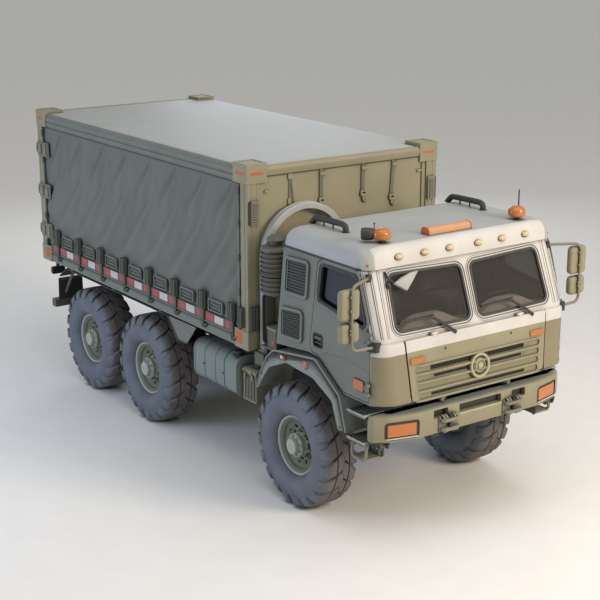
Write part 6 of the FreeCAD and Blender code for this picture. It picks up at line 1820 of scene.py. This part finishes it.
def makeDashboard():
    shelf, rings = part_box("dashboard")[1].z - 0.03, []
    for k in range(49):
        x = -1.09 + 2.18 * k / 48
        hump = sum(math.exp(-((x - middle) / 0.3) ** 4) for middle in (-inside["humpAt"], inside["humpAt"]))
        top = shelf + 0.036 + inside["humpHeight"] * hump
        ahead = frontY(top) + 0.058
        rings.append([at(x, y, z) for y, z in ((frontY(shelf) + 0.07, shelf), (ahead, top - 0.012),
            (ahead + 0.012, top), (-1.862, top + 0.006 * hump), (-1.848, top - 0.006), (-1.842, shelf + 0.01),
            (-1.842, shelf))])
    black = [plate("y", boxFront - 1.79, boxFront - 1.752, -0.3, shelf - 0.105, 0.24, shelf - 0.01, 0.02)]
    vents = [roundRect(x - 0.06, shelf - 0.09, x + 0.06, shelf - 0.03, 0.015) for x in (-0.2, -0.04)]
    black += [band(line, offset(line, -0.01), "y", boxFront - 1.764, boxFront - 1.744) for line in vents]
    black += [turnedAt(at(x, -1.83, shelf + 0.06), (0, 1, 0.25),
        [(0, 0), (0, 0.042), (0.014, 0.042), (0.014, 0.036), (0.008, 0.034), (0.008, 0)], 28)
        for x in (0.465, 0.56, 0.655)]
    makePiece("dashTop", "cab", [(dashPlastic, [loft(rings)]), (blackPlastic, black)], bevel=0.002,
        slot="cab_plastic")
    # wheel: a rim, three spokes, a hub and its column
    hub, lean, across = at(0.56, -1.61, cabBottom + 0.69), Vector((0, 0.42, 0.9)).normalized(), Vector((1, 0, 0))
    up = lean.cross(across)
    spoke = lambda way: tube([hub + way * 0.03 - lean * 0.012, hub + way * 0.12 - lean * 0.016, hub
        + way * 0.216], 0.013)
    black = [tube([hub + across * a + up * b for a, b in ellipse(0.225, 0.225, 72)], 0.016, 16, closed=True)]
    black.append(turnedAt(hub - lean * 0.03, lean, [(0, 0), (0, 0.055), (0.018, 0.062), (0.034, 0.056),
        (0.046, 0.04), (0.05, 0.018), (0.051, 0)], 40))
    black += [spoke(-across), spoke(across), spoke(-up)]
    steel = [rod(hub - lean * 0.205, hub - lean * 0.02, 0.026, 24),
        brick(0.525, -1.8, cabBottom + 0.49, 0.595, -1.69, cabBottom + 0.55)]
    stalks = [tube([hub - lean * 0.07, hub - lean * 0.07 + across * x + up * 0.02], 0.007, 8)
        for x in (-0.15, 0.15)]
    makePiece("steeringWheelRim", "cab", [(blackPlastic, black), (darkSteel, steel), (cabPlastic, stalks)],
        sharp=40, replaces=["steering_wheel"], slot="black_plastic")


def sewnPad(name, outline, half, seams):
    # a pad filled by pressure: its outline (along, up) drawn out across the seat, then remeshed and blown up
    ends = ((-half, 0.02), (-half + 0.012, 0.008), (-half + 0.03, 0.0), (half - 0.03, 0.0), (half - 0.012, 0.008),
        (half, 0.02))
    mesh = meshOf(loft([onAxis("x", offset(outline, -shrink), x) for x, shrink in ends]), name)
    piece = addObject(name, mesh)
    remesh = piece.modifiers.new("remesh", "REMESH")
    remesh.mode, remesh.voxel_size = "VOXEL", inside["voxel"]
    start = evaluated(piece)
    piece.modifiers.clear()
    piece.data = start
    before, faces = shapeOf(start)
    after = before
    cloth = piece.modifiers.new("cloth", "CLOTH")
    cloth.settings.use_pressure, cloth.settings.uniform_pressure_force = True, inside["pressure"]
    cloth.settings.effector_weights.gravity = 0.0
    cloth.settings.quality = 5
    cloth.collision_settings.use_collision = False
    blown = simulated(piece, inside["frames"])
    after = shapeOf(blown)[0]
    bpy.data.meshes.remove(blown)
    middle = Vector((0, sum(p[0] for p in outline) / len(outline), sum(p[1] for p in outline) / len(outline)))
    spots = []
    for a, b in zip(before, after):
        move = b - a
        if move.length > inside["swell"]:
            move *= inside["swell"] / move.length
        p = a + move
        # the sewn channels pull the cover in
        pull = sum(math.exp(-((p.x - seam) / 0.01) ** 2) for seam in seams)
        inwards = Vector((0, middle.y - p.y, middle.z - p.z)).normalized()
        spots.append(p + inwards * (inside["seamDepth"] * min(pull, 1.0)))
    bpy.data.objects.remove(piece)
    for used in (start, mesh):
        bpy.data.meshes.remove(used)
    return spots, faces


def makeSeats():
    seatLine = lambda points, radius: rounded(onCab(points), radius, 5)
    cushion = seatLine([(-1.185, 0.492), (-0.79, 0.478), (-0.795, 0.562), (-1.18, 0.572)], 0.03)
    rest = seatLine([(-0.788, 0.585), (-0.722, 0.56), (-0.66, 1.085), (-0.728, 1.098)], 0.026)
    seatAt, shells, steel = inside["seatAt"], [], []
    for part, line in (("Cushion", cushion), ("Back", rest)):
        pad = sewnPad("seat" + part, line, inside["seatHalf"], (-0.12, 0.12))
        for x, hand in ((-seatAt, "right"), (seatAt, "left")):
            piece = makePiece(f"seat{part}_{hand}", "cab", [(seatCloth, [moved(pad, (x, 0, 0))])], sharp=80,
                slot="seat_fabric")
            smoothed(piece)
    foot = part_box("seats")[0].z - cabBottom
    for x in (-seatAt, seatAt):
        for points, radius, half in (([(-0.985, foot), (-0.715, foot), (-0.715, 0.47), (-0.985, 0.47)], 0.012,
                0.19), ([(-1.195, 0.455), (-0.705, 0.455), (-0.7, 0.476), (-1.195, 0.488)], 0.008, 0.246),
                ([(-0.706, 0.47), (-0.694, 0.47), (-0.64, 1.09), (-0.652, 1.096)], 0.004, 0.235)):
            shells.append(prism(seatLine(points, radius), "x", x - half, x + half))
        steel += [rod(at(x + s * 0.248, -0.77, cabBottom + 0.51), at(x + s * 0.262, -0.77, cabBottom + 0.51),
            0.03, 24) for s in (-0.92, 0.92)]
    makePiece("seatFrames", "cab", [(blackPlastic, shells), (darkSteel, steel)], bevel=0.003, replaces=["seats"],
        slot="black_plastic")


def finishNodes():
    # the frame's own shapes, with their edges softened and a finish on each
    for finish, rows in {framePaint: {"frame_rails": 0.004, "cross_members": 0.003, "frame_brackets": 0.003,
            "container_floor": 0.002, "floor_bearers": 0.003}, khakiCast: {"front_axle": 0.004,
            "rear_axles": 0.004, "knuckle_left": 0.004, "knuckle_right": 0.004},
            darkPaint: {"leaf_springs": 0.002, "powertrain": 0.005, "rear_mudguards": 0.003, "tie_rod": 0.0015},
            stepsPaint: {"underrun_guard": 0.006}, dashPlastic: {"dashboard": 0.004}}.items():
        for name, width in rows.items():
            refinished(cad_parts[name], finish)
            soften(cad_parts[name], width)


makeDashboard()
makeSeats()
finishNodes()
print("stage: inside and running gear made")

# studio

studio = {
    "floor": "#f1f0ed",
    "floorHalf": 170.0,
    "world": "#e6e6e5",
    "worldStrength": 0.57,
    "key": (4.0, "#ffecd6", (3.4, -13.0, 6.6), 1070.0),       # size, colour, place, watts
    "fill": (5.0, "#c9dcff", (-10.5, 3.0, 3.6), 430.0),
    "top": (11.0, "#ffffff", (0.0, -4.5, 11.0), 405.0),
    "back": (5.0, "#eef3ff", (7.0, 10.0, 5.0), 190.0),
    "camera": (-8.69, -12.742, 5.868),
    "cameraTurn": (74.169, 0.0, -35.377),       # degrees
    "lens": 83.2,
}


def addLight(name, target):
    size, colour, spot, watts = studio[name]
    data = bpy.data.lights.new(name + "Light", "AREA")
    data.shape, data.size, data.energy, data.color = "DISK", size, watts, linear(colour)[:3]
    light = addObject(name + "Light", data)
    light.location = spot
    light.rotation_euler = (Vector(target) - Vector(spot)).to_track_quat("-Z", "Y").to_euler()


def makeStudio():
    half = studio["floorHalf"]
    mesh = meshOf(([(-half, -half, 0), (half, -half, 0), (half, half, 0), (-half, half, 0)], [(0, 1, 2, 3)]))
    floor = addObject("studioFloor", mesh)
    # the floor darkens by ambient occlusion close to the tyres: painted shadow
    mesh.materials.append(sprayedPaint("rolledFloorPaint", studio["floor"], "#eeedea", "#8f8e8b", 0.75))
    world = bpy.data.worlds.new("studioWorld")
    world.use_nodes = True
    sky = world.node_tree.nodes["Background"]
    sky.inputs["Color"].default_value = linear(studio["world"])
    sky.inputs["Strength"].default_value = studio["worldStrength"]
    bpy.context.scene.world = world
    for name in ("key", "fill", "top", "back"):
        addLight(name, (0.0, -0.5, 1.4))
    camera = addObject("camera", bpy.data.cameras.new("camera"))
    camera.location, turn = studio["camera"], [math.radians(angle) for angle in studio["cameraTurn"]]
    camera.rotation_euler, camera.data.lens, camera.data.clip_end = turn, studio["lens"], 500.0
    bpy.context.scene.camera = camera
    bpy.context.scene.view_settings.view_transform = "Standard"


makeStudio()
print("stage: studio made")
